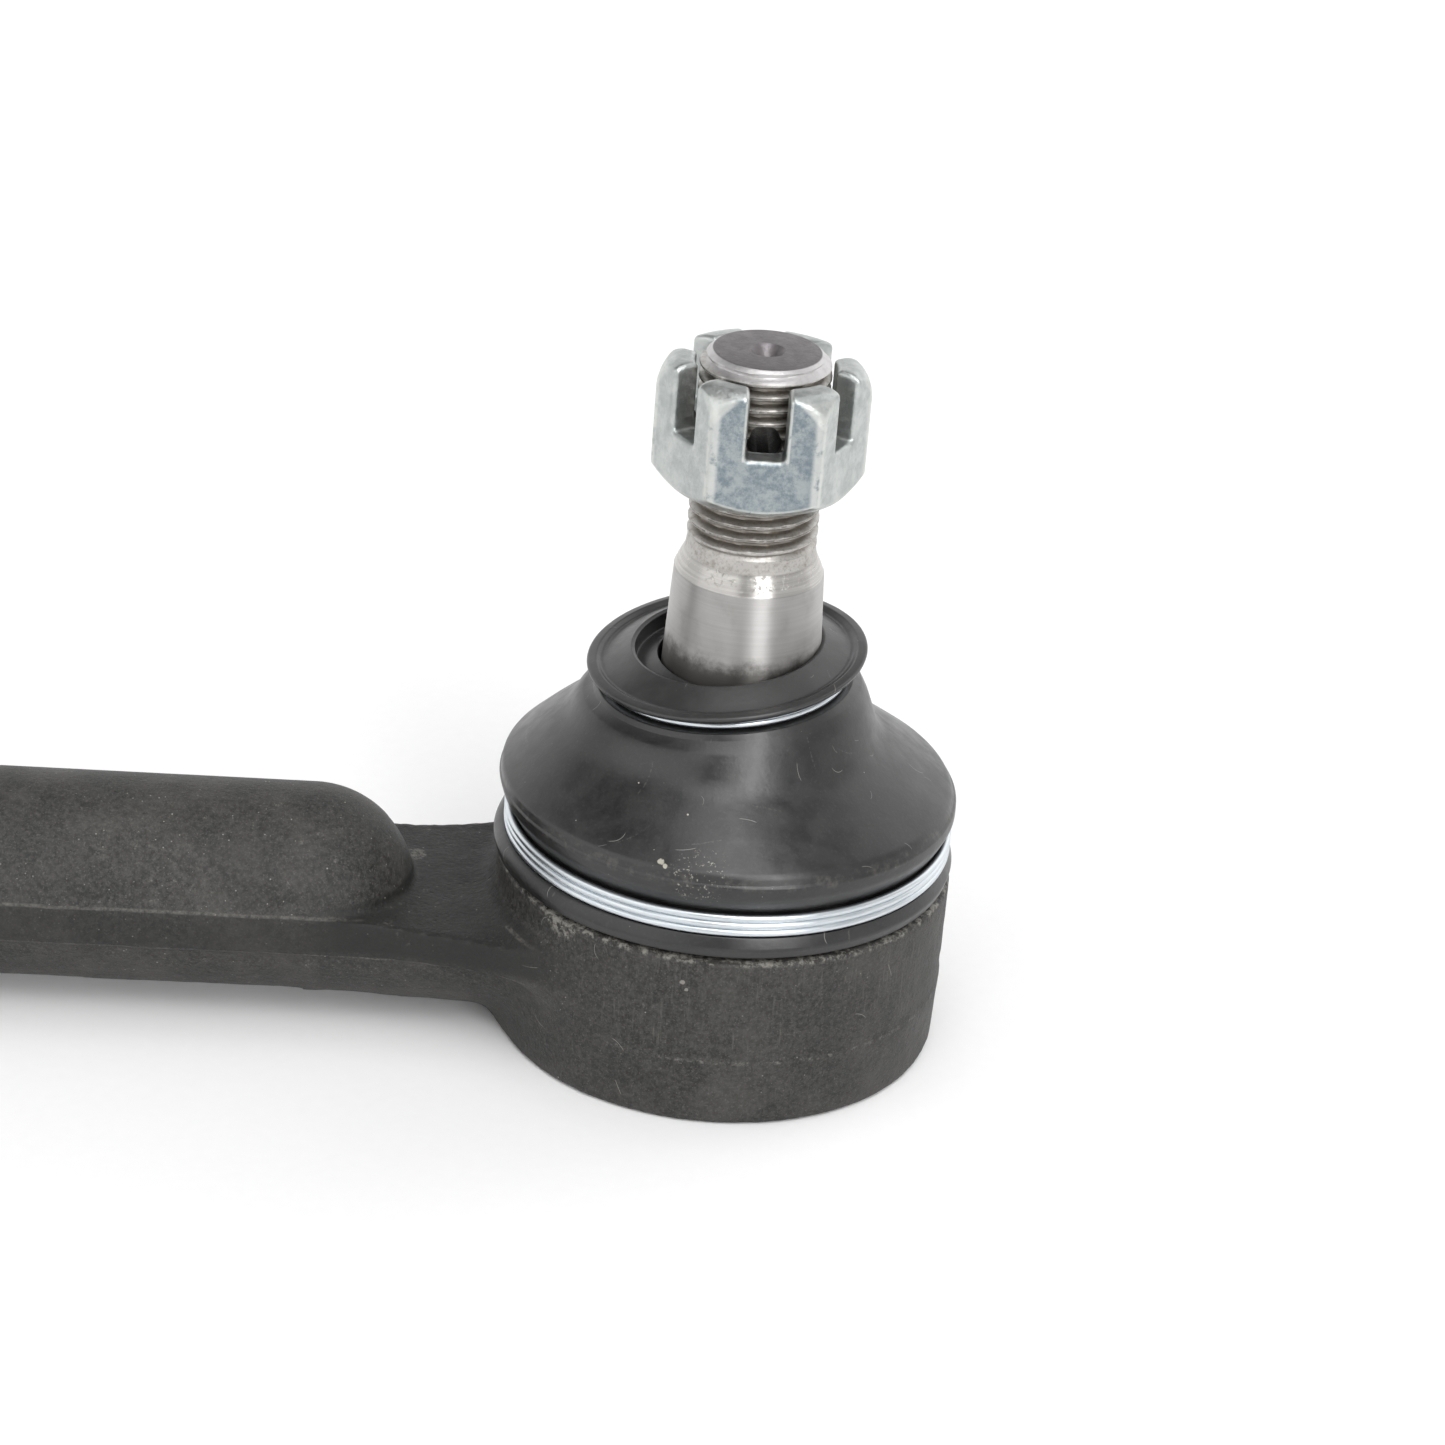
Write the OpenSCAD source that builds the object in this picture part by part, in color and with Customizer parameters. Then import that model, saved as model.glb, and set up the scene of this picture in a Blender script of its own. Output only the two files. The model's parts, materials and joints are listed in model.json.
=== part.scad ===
// Outer tie rod end: a forged steel cup on a threaded barrel, holding a ball stud
// that leans and turns in two plastic seats under a rubber dust boot, with a castle
// nut on the stud. The origin is the centre of the cup's flat rolled-over base, +Z
// runs up along the stud, and the barrel runs out along -X. Millimetres.

/* [Ball stud] */
// Diameter of the ball
ball_d = 22; // [20:0.5:23]
// Height of the ball centre above the base
ball_z = 16.8; // [16.5:0.1:17.5]
// Height of the stud's end face above the base
stud_top_z = 68.3; // [67.6:0.1:72]
// Nominal diameter of the stud's thread
thread_d = 12; // [10:0.5:12]
// Pitch of the stud's thread
thread_pitch = 1.25; // [1:0.25:1.5]
// Height at which the thread begins, above the shoulder
thread_z = 50.4; // [50:0.1:52]
// Diameter of the taper at its small, upper end
taper_small_d = 13.8; // [13.5:0.1:14.5]
// Height of the taper's small end
taper_top_z = 47; // [45:0.5:48]
// Height of the taper's large end, inside the boot
taper_low_z = 35; // [34:0.5:37]
// Taper: change of diameter per unit of length
taper_ratio = 0.1; // [0.08:0.01:0.125]
// Diameter of the waist between the ball and the taper
waist_d = 12.4; // [11:0.1:13]
// Diameter of the cotter pin hole
cotter_d = 3.2; // [2.5:0.1:3.5]
// Height of the cotter pin hole
cotter_z = 61.5; // [61:0.1:64]

/* [Castle nut] */
// Width across the nut's flats
nut_af = 17; // [16.5:0.5:19]
// Height of the nut's bearing face as stored
nut_z = 55.5; // [54:0.1:56.5]
// Overall height of the nut
nut_h = 11.8; // [10:0.1:13]
// Width of each slot
slot_w = 3.5; // [3:0.1:4]
// Depth of each slot from the top
slot_depth = 6.3; // [5:0.1:7]

/* [Forged cup] */
// Outer diameter at the parting line
cup_d = 42.9; // [42:0.1:46]
// Height of the parting line on the cup
cup_parting_z = 6.8; // [6:0.1:8]
// Height of the shoulder that the boot stands on
cup_shoulder_z = 17.4; // [17:0.1:18]
// Diameter of the collar inside the boot
collar_d = 37.2; // [36:0.1:38]
// Height of the cup's rim inside the boot
cup_rim_z = 23.2; // [23:0.1:24]
// Diameter of the bore that holds the seats
seat_bore_d = 27.2; // [26.8:0.1:28]
// Diameter of the recess for the cover plate
cover_recess_d = 30; // [29.5:0.1:31]
// Thickness of the cover plate
cover_t = 2; // [1.5:0.1:2.2]

/* [Barrel and neck] */
// Outer diameter of the barrel
barrel_d = 19.64; // [19:0.1:20]
// Height of the barrel axis above the base
barrel_z = 11.45; // [11:0.05:12]
// Distance from the stud axis to the barrel's open end
barrel_reach = 105; // [90:1:120]
// Distance from the stud axis to the centre of the barrel's domed end
dome_x = 38.9; // [37:0.1:42]
// Minor diameter of the M14 x 1.5 thread, as bored
barrel_bore_d = 12.38; // [12.2:0.02:12.6]
// Depth of the threaded hole
barrel_bore_depth = 56; // [40:1:60]
// Half width of the trimmed flash land beside the barrel
land_half_w = 10.4; // [10.1:0.1:11]
// Height of the flash land
land_h = 3.9; // [3:0.1:4.5]

/* [Boot and clamp rings] */
// Largest diameter of the dust boot
boot_d = 43; // [42:0.1:44]
// Height of the crease between the boot's skirt and its cone
boot_crease_z = 25.2; // [24:0.1:26]
// Thickness of the boot's rubber
boot_t = 1.5; // [1.2:0.1:2]
// Diameter of the boot's top lip
boot_lip_d = 25.6; // [24:0.1:27]
// Height of the top lip's rim
boot_lip_z = 38.5; // [38:0.1:39]
// Wire diameter of the clamp rings
ring_wire_d = 0.74; // [0.7:0.01:0.8]
// Turns of wire in the lower ring
lower_ring_turns = 3; // [2:1:3]
// Outer diameter of the lower ring
lower_ring_d = 42.2; // [42:0.1:43]
// Turns of wire in the upper ring
upper_ring_turns = 2; // [1:1:2]
// Outer diameter of the upper ring
upper_ring_d = 22.8; // [22.5:0.1:23.5]

/* [Seats and spring] */
// Radial running clearance between the ball and its seats
ball_clearance = 0.04; // [0.02:0.01:0.08]
// Radial clearance between the seats and the cup
seat_clearance = 0.06; // [0.03:0.01:0.1]
// Wire diameter of the preload spring
spring_wire_d = 1.5; // [1.2:0.1:1.6]
// Turns of the preload spring
spring_turns = 1.9; // [1.5:0.1:2]

/* [Hidden] */
$fn = 96;
eps = 0.01;

ball_r = ball_d / 2;
thread_r = thread_d / 2;
thread_depth = 0.6134 * thread_pitch;
waist_r = waist_d / 2;
seat_r = ball_r + ball_clearance;
bore_r = seat_bore_d / 2;
barrel_r = barrel_d / 2;
cup_r = cup_d / 2;
end_chamfer = 1.2;

// Levels inside the cup, from the rolled lip at the base up to the throat
lip_t = 0.8;
lip_r = bore_r - 0.2;
cover_z = lip_t;
cover_top_z = cover_z + cover_t;
seal_groove_h = 1.2;
seat_split_z = ball_z + 0.1;
seat_gap = 0.4;
cone_low_z = ball_z + 1;
cone_top_z = ball_z + 5.1;
cone_top_r = 11.3;
throat_r = 10.3;
throat_flare_r = 11.8;

// Levels on the stud
stud_face_r = 5.05;
shoulder_z = taper_top_z + 0.5;
shoulder_r = 6.65;
waist_top_z = 30;
centre_drill_r = 1.9;
centre_drill_depth = 1.9;

// Heights of the clamp rings, one wire's width a turn
ring_wire_r = ring_wire_d / 2;
ring_pitch = 0.96 * ring_wire_d;
lower_ring_z = 19.85;
upper_ring_z = 35.95;

function taper_r(z) = taper_small_d / 2 + (taper_top_z - z) * taper_ratio / 2;
function ring_h(turns) = ring_wire_d + (turns - 1) * ring_pitch;

// Half outline of a thread's rings from z0 up to z1: a narrow crest, then a root
function thread_points(r, z0, z1) = [
    for (i = [0 : floor((z1 - z0) / thread_pitch) - 1])
        let (z = z0 + i * thread_pitch)
        each [
            [r - thread_depth, z],
            [r - thread_depth, z + thread_pitch * 0.2],
            [r, z + thread_pitch * 0.5],
            [r, z + thread_pitch * 0.7]
        ]
];

// Half outline of the stud from its waist up to the end face
function stud_points() = concat(
    [
        [0, ball_z],
        [waist_r, ball_z],
        [waist_r, waist_top_z],
        [taper_r(taper_low_z), taper_low_z],
        [taper_r(taper_top_z), taper_top_z],
        [shoulder_r, shoulder_z],
        [thread_r - thread_depth, thread_z - 0.3]
    ],
    thread_points(thread_r, thread_z, stud_top_z - 1),
    [
        [thread_r - thread_depth, stud_top_z - 1.1],
        [thread_r - 0.35, stud_top_z - 0.8],
        [stud_face_r, stud_top_z],
        [0, stud_top_z]
    ]
);

module ball_stud() {
    color([0.62, 0.61, 0.6])
    difference() {
        union() {
            translate([0, 0, ball_z])
                sphere(r = ball_r);
            rotate_extrude()
                polygon(stud_points());
        }
        translate([0, 0, cotter_z])
            rotate([90, 0, 0])
                cylinder(d = cotter_d, h = 2 * thread_d, center = true);
        translate([0, 0, stud_top_z - centre_drill_depth])
            cylinder(r1 = 0, r2 = centre_drill_r, h = centre_drill_depth + eps);
    }
}

// A hexagonal prism with both ends turned to a cone, bored and slotted
module castle_nut() {
    corner_r = nut_af / 2 / cos(30);
    bearing_r = nut_af / 2 - 0.35;
    crown_r = nut_af / 2 - 1.1;
    bottom_chamfer_h = 1.3;
    top_chamfer_h = 1.9;
    bore_clearance = 0.05;
    crown_bore_r = thread_r + 0.35;
    // Keeps the turned outline's seam off the hexagon's corners
    seam_angle = 10;
    color([0.78, 0.81, 0.82])
    translate([0, 0, nut_z])
    difference() {
        intersection() {
            rotate([0, 0, 60])
                cylinder(r = corner_r, h = nut_h, $fn = 6);
            rotate([0, 0, seam_angle])
                rotate_extrude()
                    polygon([
                        [0, 0],
                        [bearing_r, 0],
                        [corner_r + 0.1, bottom_chamfer_h],
                        [corner_r + 0.1, nut_h - top_chamfer_h],
                        [crown_r, nut_h],
                        [0, nut_h]
                    ]);
        }
        translate([0, 0, -eps])
            cylinder(r = thread_r + bore_clearance, h = nut_h + 2 * eps);
        translate([0, 0, -eps])
            cylinder(r1 = thread_r + 0.8, r2 = thread_r, h = 0.8);
        translate([0, 0, nut_h - slot_depth + 1])
            cylinder(r = crown_bore_r, h = slot_depth);
        for (a = [0 : 60 : 120])
            rotate([0, 0, a])
                translate([-slot_w / 2, -nut_af, nut_h - slot_depth])
                    cube([slot_w, 2 * nut_af, slot_depth + eps]);
    }
}

// Half outline of the cup's outside, with draft both ways from the parting line
module cup_outline() {
    edge_r = 1.6;
    foot_r = cup_r - 1;
    polygon(concat(
        [[0, 0]],
        [for (a = [-90 : 15 : 0]) [foot_r - edge_r + edge_r * cos(a), edge_r + edge_r * sin(a)]],
        [
            [cup_r, cup_parting_z],
            [cup_r - 0.15, cup_shoulder_z - 0.6],
            [cup_r - 0.75, cup_shoulder_z],
            [collar_d / 2, cup_shoulder_z],
            [collar_d / 2, cup_rim_z - 1.2],
            [collar_d / 2 + 0.5, cup_rim_z - 0.8],
            [collar_d / 2 + 0.2, cup_rim_z],
            [0, cup_rim_z]
        ]
    ));
}

// Half outline of the space inside the cup, open at the base and at the throat
module cup_cavity_outline() {
    polygon([
        [0, -1],
        [lip_r, -1],
        [lip_r, lip_t],
        [cover_recess_d / 2, lip_t],
        [cover_recess_d / 2, cover_top_z],
        [cover_recess_d / 2 - 0.1, cover_top_z],
        [cover_recess_d / 2 - 0.1, cover_top_z + seal_groove_h],
        [bore_r, cover_top_z + seal_groove_h],
        [bore_r, cone_low_z],
        [cone_top_r, cone_top_z],
        [throat_r, cone_top_z],
        [throat_flare_r, cup_rim_z + eps],
        [0, cup_rim_z + eps]
    ]);
}

// Plan of the flash land: straight beside the barrel, flaring where it meets the cup
module land_plan() {
    flare_x = dome_x - 2.9;
    inner_x = 14;
    reach = flare_x - inner_x;
    flare_w = 5;
    edge = [
        for (i = [0 : 12])
            [-flare_x + reach * i / 12, land_half_w + flare_w * pow(i / 12, 2)]
    ];
    upper = concat([[-barrel_reach + 3, land_half_w]], edge);
    polygon(concat(upper, [for (i = [len(upper) - 1 : -1 : 0]) [upper[i][0], -upper[i][1]]]));
}

// The lower half of the neck swells from the barrel's round into the cup
module neck_underside() {
    root_x = 19;
    root_r = barrel_r + 1.5;
    root_rise = 0.9;
    intersection() {
        hull() {
            translate([-dome_x, 0, barrel_z])
                rotate([0, 90, 0])
                    cylinder(r = barrel_r, h = 1, $fn = 64);
            translate([-root_x, 0, barrel_z + root_rise])
                rotate([0, 90, 0])
                    cylinder(r = root_r, h = 1, $fn = 64);
        }
        translate([-dome_x - 1, -20, 0])
            cube([dome_x, 40, barrel_z + land_h / 2]);
    }
}

// Half outline of the barrel's straight, measured out from the stud axis
module barrel_outline() {
    polygon([
        [0, dome_x],
        [barrel_r, dome_x],
        [barrel_r, barrel_reach - end_chamfer],
        [barrel_r - end_chamfer, barrel_reach],
        [0, barrel_reach]
    ]);
}

module forged_housing() {
    drill_point_h = barrel_bore_d / 2 * tan(30);
    countersink_d = barrel_bore_d + 2 * end_chamfer;
    color([0.2, 0.2, 0.2])
    difference() {
        union() {
            rotate_extrude()
                cup_outline();
            translate([-dome_x, 0, barrel_z])
                sphere(r = barrel_r);
            translate([0, 0, barrel_z])
                rotate([0, -90, 0])
                    rotate_extrude()
                        barrel_outline();
            translate([0, 0, barrel_z - land_h / 2])
                linear_extrude(land_h)
                    land_plan();
            neck_underside();
        }
        rotate_extrude()
            cup_cavity_outline();
        translate([-barrel_reach - 1, 0, barrel_z])
            rotate([0, 90, 0])
                cylinder(d = barrel_bore_d, h = barrel_bore_depth + 1);
        translate([-barrel_reach + barrel_bore_depth - eps, 0, barrel_z])
            rotate([0, 90, 0])
                cylinder(d1 = barrel_bore_d, d2 = 0, h = drill_point_h);
        translate([-barrel_reach - eps, 0, barrel_z])
            rotate([0, 90, 0])
                cylinder(d1 = countersink_d, d2 = barrel_bore_d, h = end_chamfer);
    }
}

module upper_ball_seat() {
    color([0.86, 0.84, 0.76])
    difference() {
        rotate_extrude()
            polygon([
                [0, seat_split_z + seat_gap],
                [bore_r - seat_clearance, seat_split_z + seat_gap],
                [bore_r - seat_clearance, cone_low_z - seat_clearance],
                [cone_top_r - seat_clearance, cone_top_z - 2 * seat_clearance],
                [0, cone_top_z - 2 * seat_clearance]
            ]);
        translate([0, 0, ball_z])
            sphere(r = seat_r);
    }
}

module lower_ball_seat() {
    pad_z = cover_top_z + 1.6;
    pad_r = 5.6;
    recess_top_z = pad_z + 2.1;
    skirt_r = 12.3;
    color([0.8, 0.78, 0.7])
    difference() {
        rotate_extrude()
            polygon([
                [0, pad_z],
                [pad_r, pad_z],
                [pad_r, recess_top_z],
                [skirt_r, recess_top_z],
                [bore_r - seat_clearance, recess_top_z + 0.8],
                [bore_r - seat_clearance, seat_split_z],
                [0, seat_split_z]
            ]);
        translate([0, 0, ball_z])
            sphere(r = seat_r);
        translate([0, 0, pad_z - eps])
            cylinder(r = 1.5, h = 3);
    }
}

// Points of a ring of the spring wire at turn t, from 0 at the cover to 1 at the seat
function spring_ring(t, sides) = let (
    r = 10.6 - 2.6 * t,
    a = 360 * spring_turns * t,
    low = cover_top_z + 0.05 + spring_wire_d / 2,
    high = cover_top_z + 3.6 - spring_wire_d / 2,
    z = low + (high - low) * t
) [
    for (i = [0 : sides - 1])
        let (b = 360 * i / sides, q = r + spring_wire_d / 2 * cos(b))
        [q * cos(a), q * sin(a), z + spring_wire_d / 2 * sin(b)]
];

module preload_spring() {
    sides = 10;
    rings = 68;
    color([0.45, 0.46, 0.48])
    polyhedron(
        points = [for (k = [0 : rings]) each spring_ring(k / rings, sides)],
        faces = concat(
            [[for (i = [0 : sides - 1]) i]],
            [
                for (k = [0 : rings - 1], i = [0 : sides - 1])
                    let (j = (i + 1) % sides, n = k * sides)
                    each [
                        [n + i, n + sides + i, n + j],
                        [n + j, n + sides + i, n + sides + j]
                    ]
            ],
            [[for (i = [sides - 1 : -1 : 0]) rings * sides + i]]
        )
    );
}

module cover_plate() {
    cover_r = cover_recess_d / 2 - 0.1;
    dish_r = 9;
    dish_depth = 0.6;
    color([0.55, 0.55, 0.53])
    rotate_extrude()
        polygon([
            [0, cover_z - dish_depth + 0.1],
            [dish_r - 1.5, cover_z - dish_depth + 0.1],
            [dish_r, cover_z + 0.02],
            [cover_r, cover_z + 0.02],
            [cover_r, cover_top_z],
            [dish_r + 0.4, cover_top_z],
            [dish_r - 1.1, cover_top_z - dish_depth],
            [0, cover_top_z - dish_depth]
        ]);
}

module cover_seal() {
    seal_r = seal_groove_h / 2;
    color([0.1, 0.1, 0.1])
    rotate_extrude()
        translate([bore_r + seal_r + 0.05, cover_top_z + seal_r])
            circle(r = seal_r - 0.01, $fn = 32);
}

// Rings of wire lying on each other, which together make one wound clamp
module wire_ring(outer_d, z, turns) {
    rotate_extrude()
        for (i = [0 : turns - 1])
            translate([outer_d / 2 - ring_wire_r, z + ring_wire_r + i * ring_pitch])
                circle(r = ring_wire_r, $fn = 24);
}

module boot_lower_ring() {
    color([0.8, 0.84, 0.87])
    wire_ring(lower_ring_d, lower_ring_z, lower_ring_turns);
}

module boot_upper_ring() {
    color([0.8, 0.84, 0.87])
    wire_ring(upper_ring_d, upper_ring_z, upper_ring_turns);
}

// The boot's cone bulges between the crease at t = 0 and the neck at t = 1
function cone_point(t, inset) = let (
    neck_r = upper_ring_d / 2 + 0.6,
    neck_z = upper_ring_z - 0.5,
    bulge = 0.25 * sin(180 * t)
) [
    boot_d / 2 - inset + (neck_r - boot_d / 2) * t + bulge,
    boot_crease_z + (neck_z - boot_crease_z) * t + bulge - inset * 0.6
];

// A hollow rubber cone: a bead and skirt below, a neck groove and a flared lip on top
module dust_boot() {
    gap = 0.3;
    bead_in_r = collar_d / 2 + gap;
    skirt_in_r = collar_d / 2 + 0.5 + gap;
    ring_in_r = lower_ring_d / 2 - ring_wire_d - gap;
    ring_top_z = lower_ring_z + ring_h(lower_ring_turns);
    neck_in_r = taper_r(taper_low_z) + gap + 0.6;
    groove_r = upper_ring_d / 2 - ring_wire_d - gap;
    groove_top_z = upper_ring_z + ring_h(upper_ring_turns) + gap;
    lip_r = boot_lip_d / 2;
    seal_r = taper_r(boot_lip_z) + gap;
    color([0.16, 0.16, 0.16])
    rotate_extrude()
        polygon(concat(
            [
                [bead_in_r, cup_shoulder_z + gap],
                [boot_d / 2 - 0.5, cup_shoulder_z + gap],
                [boot_d / 2 - 0.5, lower_ring_z - gap],
                [ring_in_r, lower_ring_z - gap],
                [ring_in_r, ring_top_z + gap],
                [boot_d / 2 - 0.5, ring_top_z + gap]
            ],
            [for (i = [0 : 12]) cone_point(i / 12, 0)],
            [
                [groove_r, upper_ring_z - gap],
                [groove_r, groove_top_z],
                [lip_r - 0.9, groove_top_z],
                [lip_r, boot_lip_z - 0.9],
                [lip_r, boot_lip_z],
                [lip_r - 1.1, boot_lip_z],
                [seal_r + 0.9, boot_lip_z + 0.9],
                [seal_r + 0.4, boot_lip_z + 0.9],
                [seal_r + 0.4, boot_lip_z - 0.6],
                [seal_r, boot_lip_z - 1],
                [seal_r + 0.4, upper_ring_z - 0.6],
                [neck_in_r, upper_ring_z - 1.4]
            ],
            [for (i = [12 : -1 : 0]) cone_point(i / 12, boot_t)],
            [
                [skirt_in_r, ring_top_z + 1.2],
                [skirt_in_r, cup_rim_z - 1.4],
                [bead_in_r, cup_rim_z - 1.7]
            ]
        ));
}

forged_housing();
ball_stud();
upper_ball_seat();
lower_ball_seat();
preload_spring();
cover_plate();
cover_seal();
dust_boot();
boot_lower_ring();
boot_upper_ring();
castle_nut();
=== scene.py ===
"""Outer tie rod end: its looks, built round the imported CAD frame.
Lengths are in millimetres until a mesh is made."""

import json
import math

import bpy
import numpy as np
from mathutils import Matrix, Vector, noise


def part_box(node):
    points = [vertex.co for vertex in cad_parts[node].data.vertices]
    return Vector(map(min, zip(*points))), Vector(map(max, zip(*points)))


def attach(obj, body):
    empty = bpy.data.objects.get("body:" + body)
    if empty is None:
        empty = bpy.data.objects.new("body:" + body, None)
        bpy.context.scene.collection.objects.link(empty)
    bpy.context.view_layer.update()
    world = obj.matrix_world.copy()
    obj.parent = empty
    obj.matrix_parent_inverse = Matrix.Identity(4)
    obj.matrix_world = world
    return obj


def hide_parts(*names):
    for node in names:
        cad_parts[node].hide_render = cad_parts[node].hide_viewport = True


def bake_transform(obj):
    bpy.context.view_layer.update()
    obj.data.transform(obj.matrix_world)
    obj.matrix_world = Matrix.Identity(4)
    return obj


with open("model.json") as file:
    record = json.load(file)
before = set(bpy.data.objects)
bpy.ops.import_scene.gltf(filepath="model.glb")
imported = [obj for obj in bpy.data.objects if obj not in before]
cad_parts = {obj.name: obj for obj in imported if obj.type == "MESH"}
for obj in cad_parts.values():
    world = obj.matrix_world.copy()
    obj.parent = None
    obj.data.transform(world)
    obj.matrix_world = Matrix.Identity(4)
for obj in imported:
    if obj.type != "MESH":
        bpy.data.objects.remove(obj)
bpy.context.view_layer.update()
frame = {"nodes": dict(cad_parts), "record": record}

MM = 0.001


def box_mm(node):
    """Lowest and highest corner of a CAD node, in millimetres."""
    low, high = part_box(node)
    return low / MM, high / MM


def mount_mm(name):
    """Position of one of the record's mounts, in millimetres, and its dimensions."""
    mount = next(m for m in frame["record"]["mounts"] if m["name"] == name)
    return [v / MM for v in mount["pos_m"]], mount["dims"]


housing_low, housing_high = box_mm("forged_housing")
stud_high = box_mm("ball_stud")[1]
nut_low, nut_high = box_mm("castle_nut")
boot_high = box_mm("dust_boot")[1]
low_ring_low, low_ring_high = box_mm("boot_lower_ring")
top_ring_low, top_ring_high = box_mm("boot_upper_ring")
barrel_mount, barrel_dims = mount_mm("barrel_thread")
cotter_mount, cotter_dims = mount_mm("cotter_hole")


# ---------------------------------------------------------------- outlines and meshes

def rounded(outline, steps=5):
    """Closed outline whose corners (u, v, radius) are turned into smooth bends."""
    points = []
    for i, entry in enumerate(outline):
        corner = Vector(entry[:2])
        radius = entry[2] if len(entry) > 2 else 0
        if not radius:
            points.append(tuple(corner))
            continue
        back = Vector(outline[i - 1][:2]) - corner
        ahead = Vector(outline[(i + 1) % len(outline)][:2]) - corner
        reach = radius / math.tan(back.angle(ahead) / 2)
        first = corner + back.normalized() * min(reach, 0.49 * back.length)
        last = corner + ahead.normalized() * min(reach, 0.49 * ahead.length)
        for k in range(steps + 1):
            t = k / steps
            points.append(tuple(first * (1 - t) ** 2 + corner * 2 * t * (1 - t) + last * t * t))
    return points


def subdivided(points, longest):
    """The same closed outline with no stretch longer than longest."""
    result = []
    for (u0, v0), (u1, v1) in zip(points, points[1:] + points[:1]):
        parts = max(1, math.ceil(math.hypot(u1 - u0, v1 - v0) / longest))
        result += [(u0 + (u1 - u0) * k / parts, v0 + (v1 - v0) * k / parts) for k in range(parts)]
    return result


def make_object(name, points, faces, sharp=35):
    """A smooth-shaded object from points in millimetres, with edges over sharp degrees kept crisp."""
    mesh = bpy.data.meshes.new(name)
    mesh.from_pydata((np.asarray(points, float) * MM).tolist(), [], [list(f) for f in faces])
    mesh.update()
    mesh.shade_smooth()
    if sharp:
        mesh.set_sharp_from_angle(angle=math.radians(sharp))
    piece = bpy.data.objects.new(name, mesh)
    bpy.context.scene.collection.objects.link(piece)
    return piece


def add_unrolled_map(piece, lengths):
    """UV map in millimetres: u runs round the part at its mean radius, v along lengths, one value a point."""
    mesh = piece.data
    corner = np.zeros(len(mesh.loops), int)
    mesh.loops.foreach_get("vertex_index", corner)
    place = np.zeros(len(mesh.vertices) * 3)
    mesh.vertices.foreach_get("co", place)
    place = place.reshape(-1, 3) / MM
    angle = np.arctan2(place[:, 1], place[:, 0])[corner] / (2 * math.pi) + 0.5
    starts = np.zeros(len(mesh.polygons), int)
    totals = np.zeros(len(mesh.polygons), int)
    mesh.polygons.foreach_get("loop_start", starts)
    mesh.polygons.foreach_get("loop_total", totals)
    owner = np.repeat(np.arange(len(starts)), totals)
    highest = np.maximum.reduceat(angle, starts)
    angle = np.where(highest[owner] - angle > 0.5, angle + 1, angle)
    mean_radius = np.hypot(place[:, 0], place[:, 1]).max() * 0.8
    layer = mesh.uv_layers.new(name="unrolled")
    spread = np.column_stack([angle * 2 * math.pi * mean_radius, np.asarray(lengths)[corner]])
    layer.data.foreach_set("uv", spread.ravel())


def revolve(name, outline, segments, shape=None, closed=True, sharp=35):
    """Turns an outline of (radius, height) round Z. shape(r, z, angle) may move its points.
    A closed outline makes a ring; an open one starts and ends on the axis and makes a solid."""
    flat = np.array([p[:2] for p in outline], float)
    count = len(flat)
    angle = np.arange(segments) * 2 * math.pi / segments
    r = np.tile(flat[:, 0], (segments, 1))
    z = np.tile(flat[:, 1], (segments, 1))
    turn = np.tile(angle[:, None], (1, count))
    x, y = r * np.cos(turn), r * np.sin(turn)
    if shape:
        x, y, z = shape(r, z, turn)
    points = np.stack([x, y, z], -1).reshape(-1, 3)
    faces = []
    for i in range(segments):
        a, b = i * count, (i + 1) % segments * count
        for k in range(count if closed else count - 1):
            n = (k + 1) % count
            faces.append((a + k, b + k, b + n, a + n))
    lengths = np.concatenate([[0], np.cumsum(np.hypot(*np.diff(flat, axis=0).T))])
    if not closed:
        points, faces, kept = merge_poles(points, faces, segments, count)
        lengths = np.tile(lengths, segments)[kept]
    else:
        lengths = np.tile(lengths, segments)
    piece = make_object(name, points, faces, sharp)
    add_unrolled_map(piece, lengths)
    return piece


def merge_poles(points, faces, segments, count):
    """Joins the points that lie on the axis at both ends of a revolved outline into one each."""
    target = np.arange(len(points))
    target[0::count] = 0
    target[count - 1::count] = count - 1
    kept = np.flatnonzero(target == np.arange(len(points)))
    renumber = np.full(len(points), -1)
    renumber[kept] = np.arange(len(kept))
    merged = []
    for face in faces:
        corners = []
        for v in face:
            v = int(renumber[target[v]])
            if v not in corners:
                corners.append(v)
        merged.append(corners)
    return points[kept], merged, kept


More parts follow.
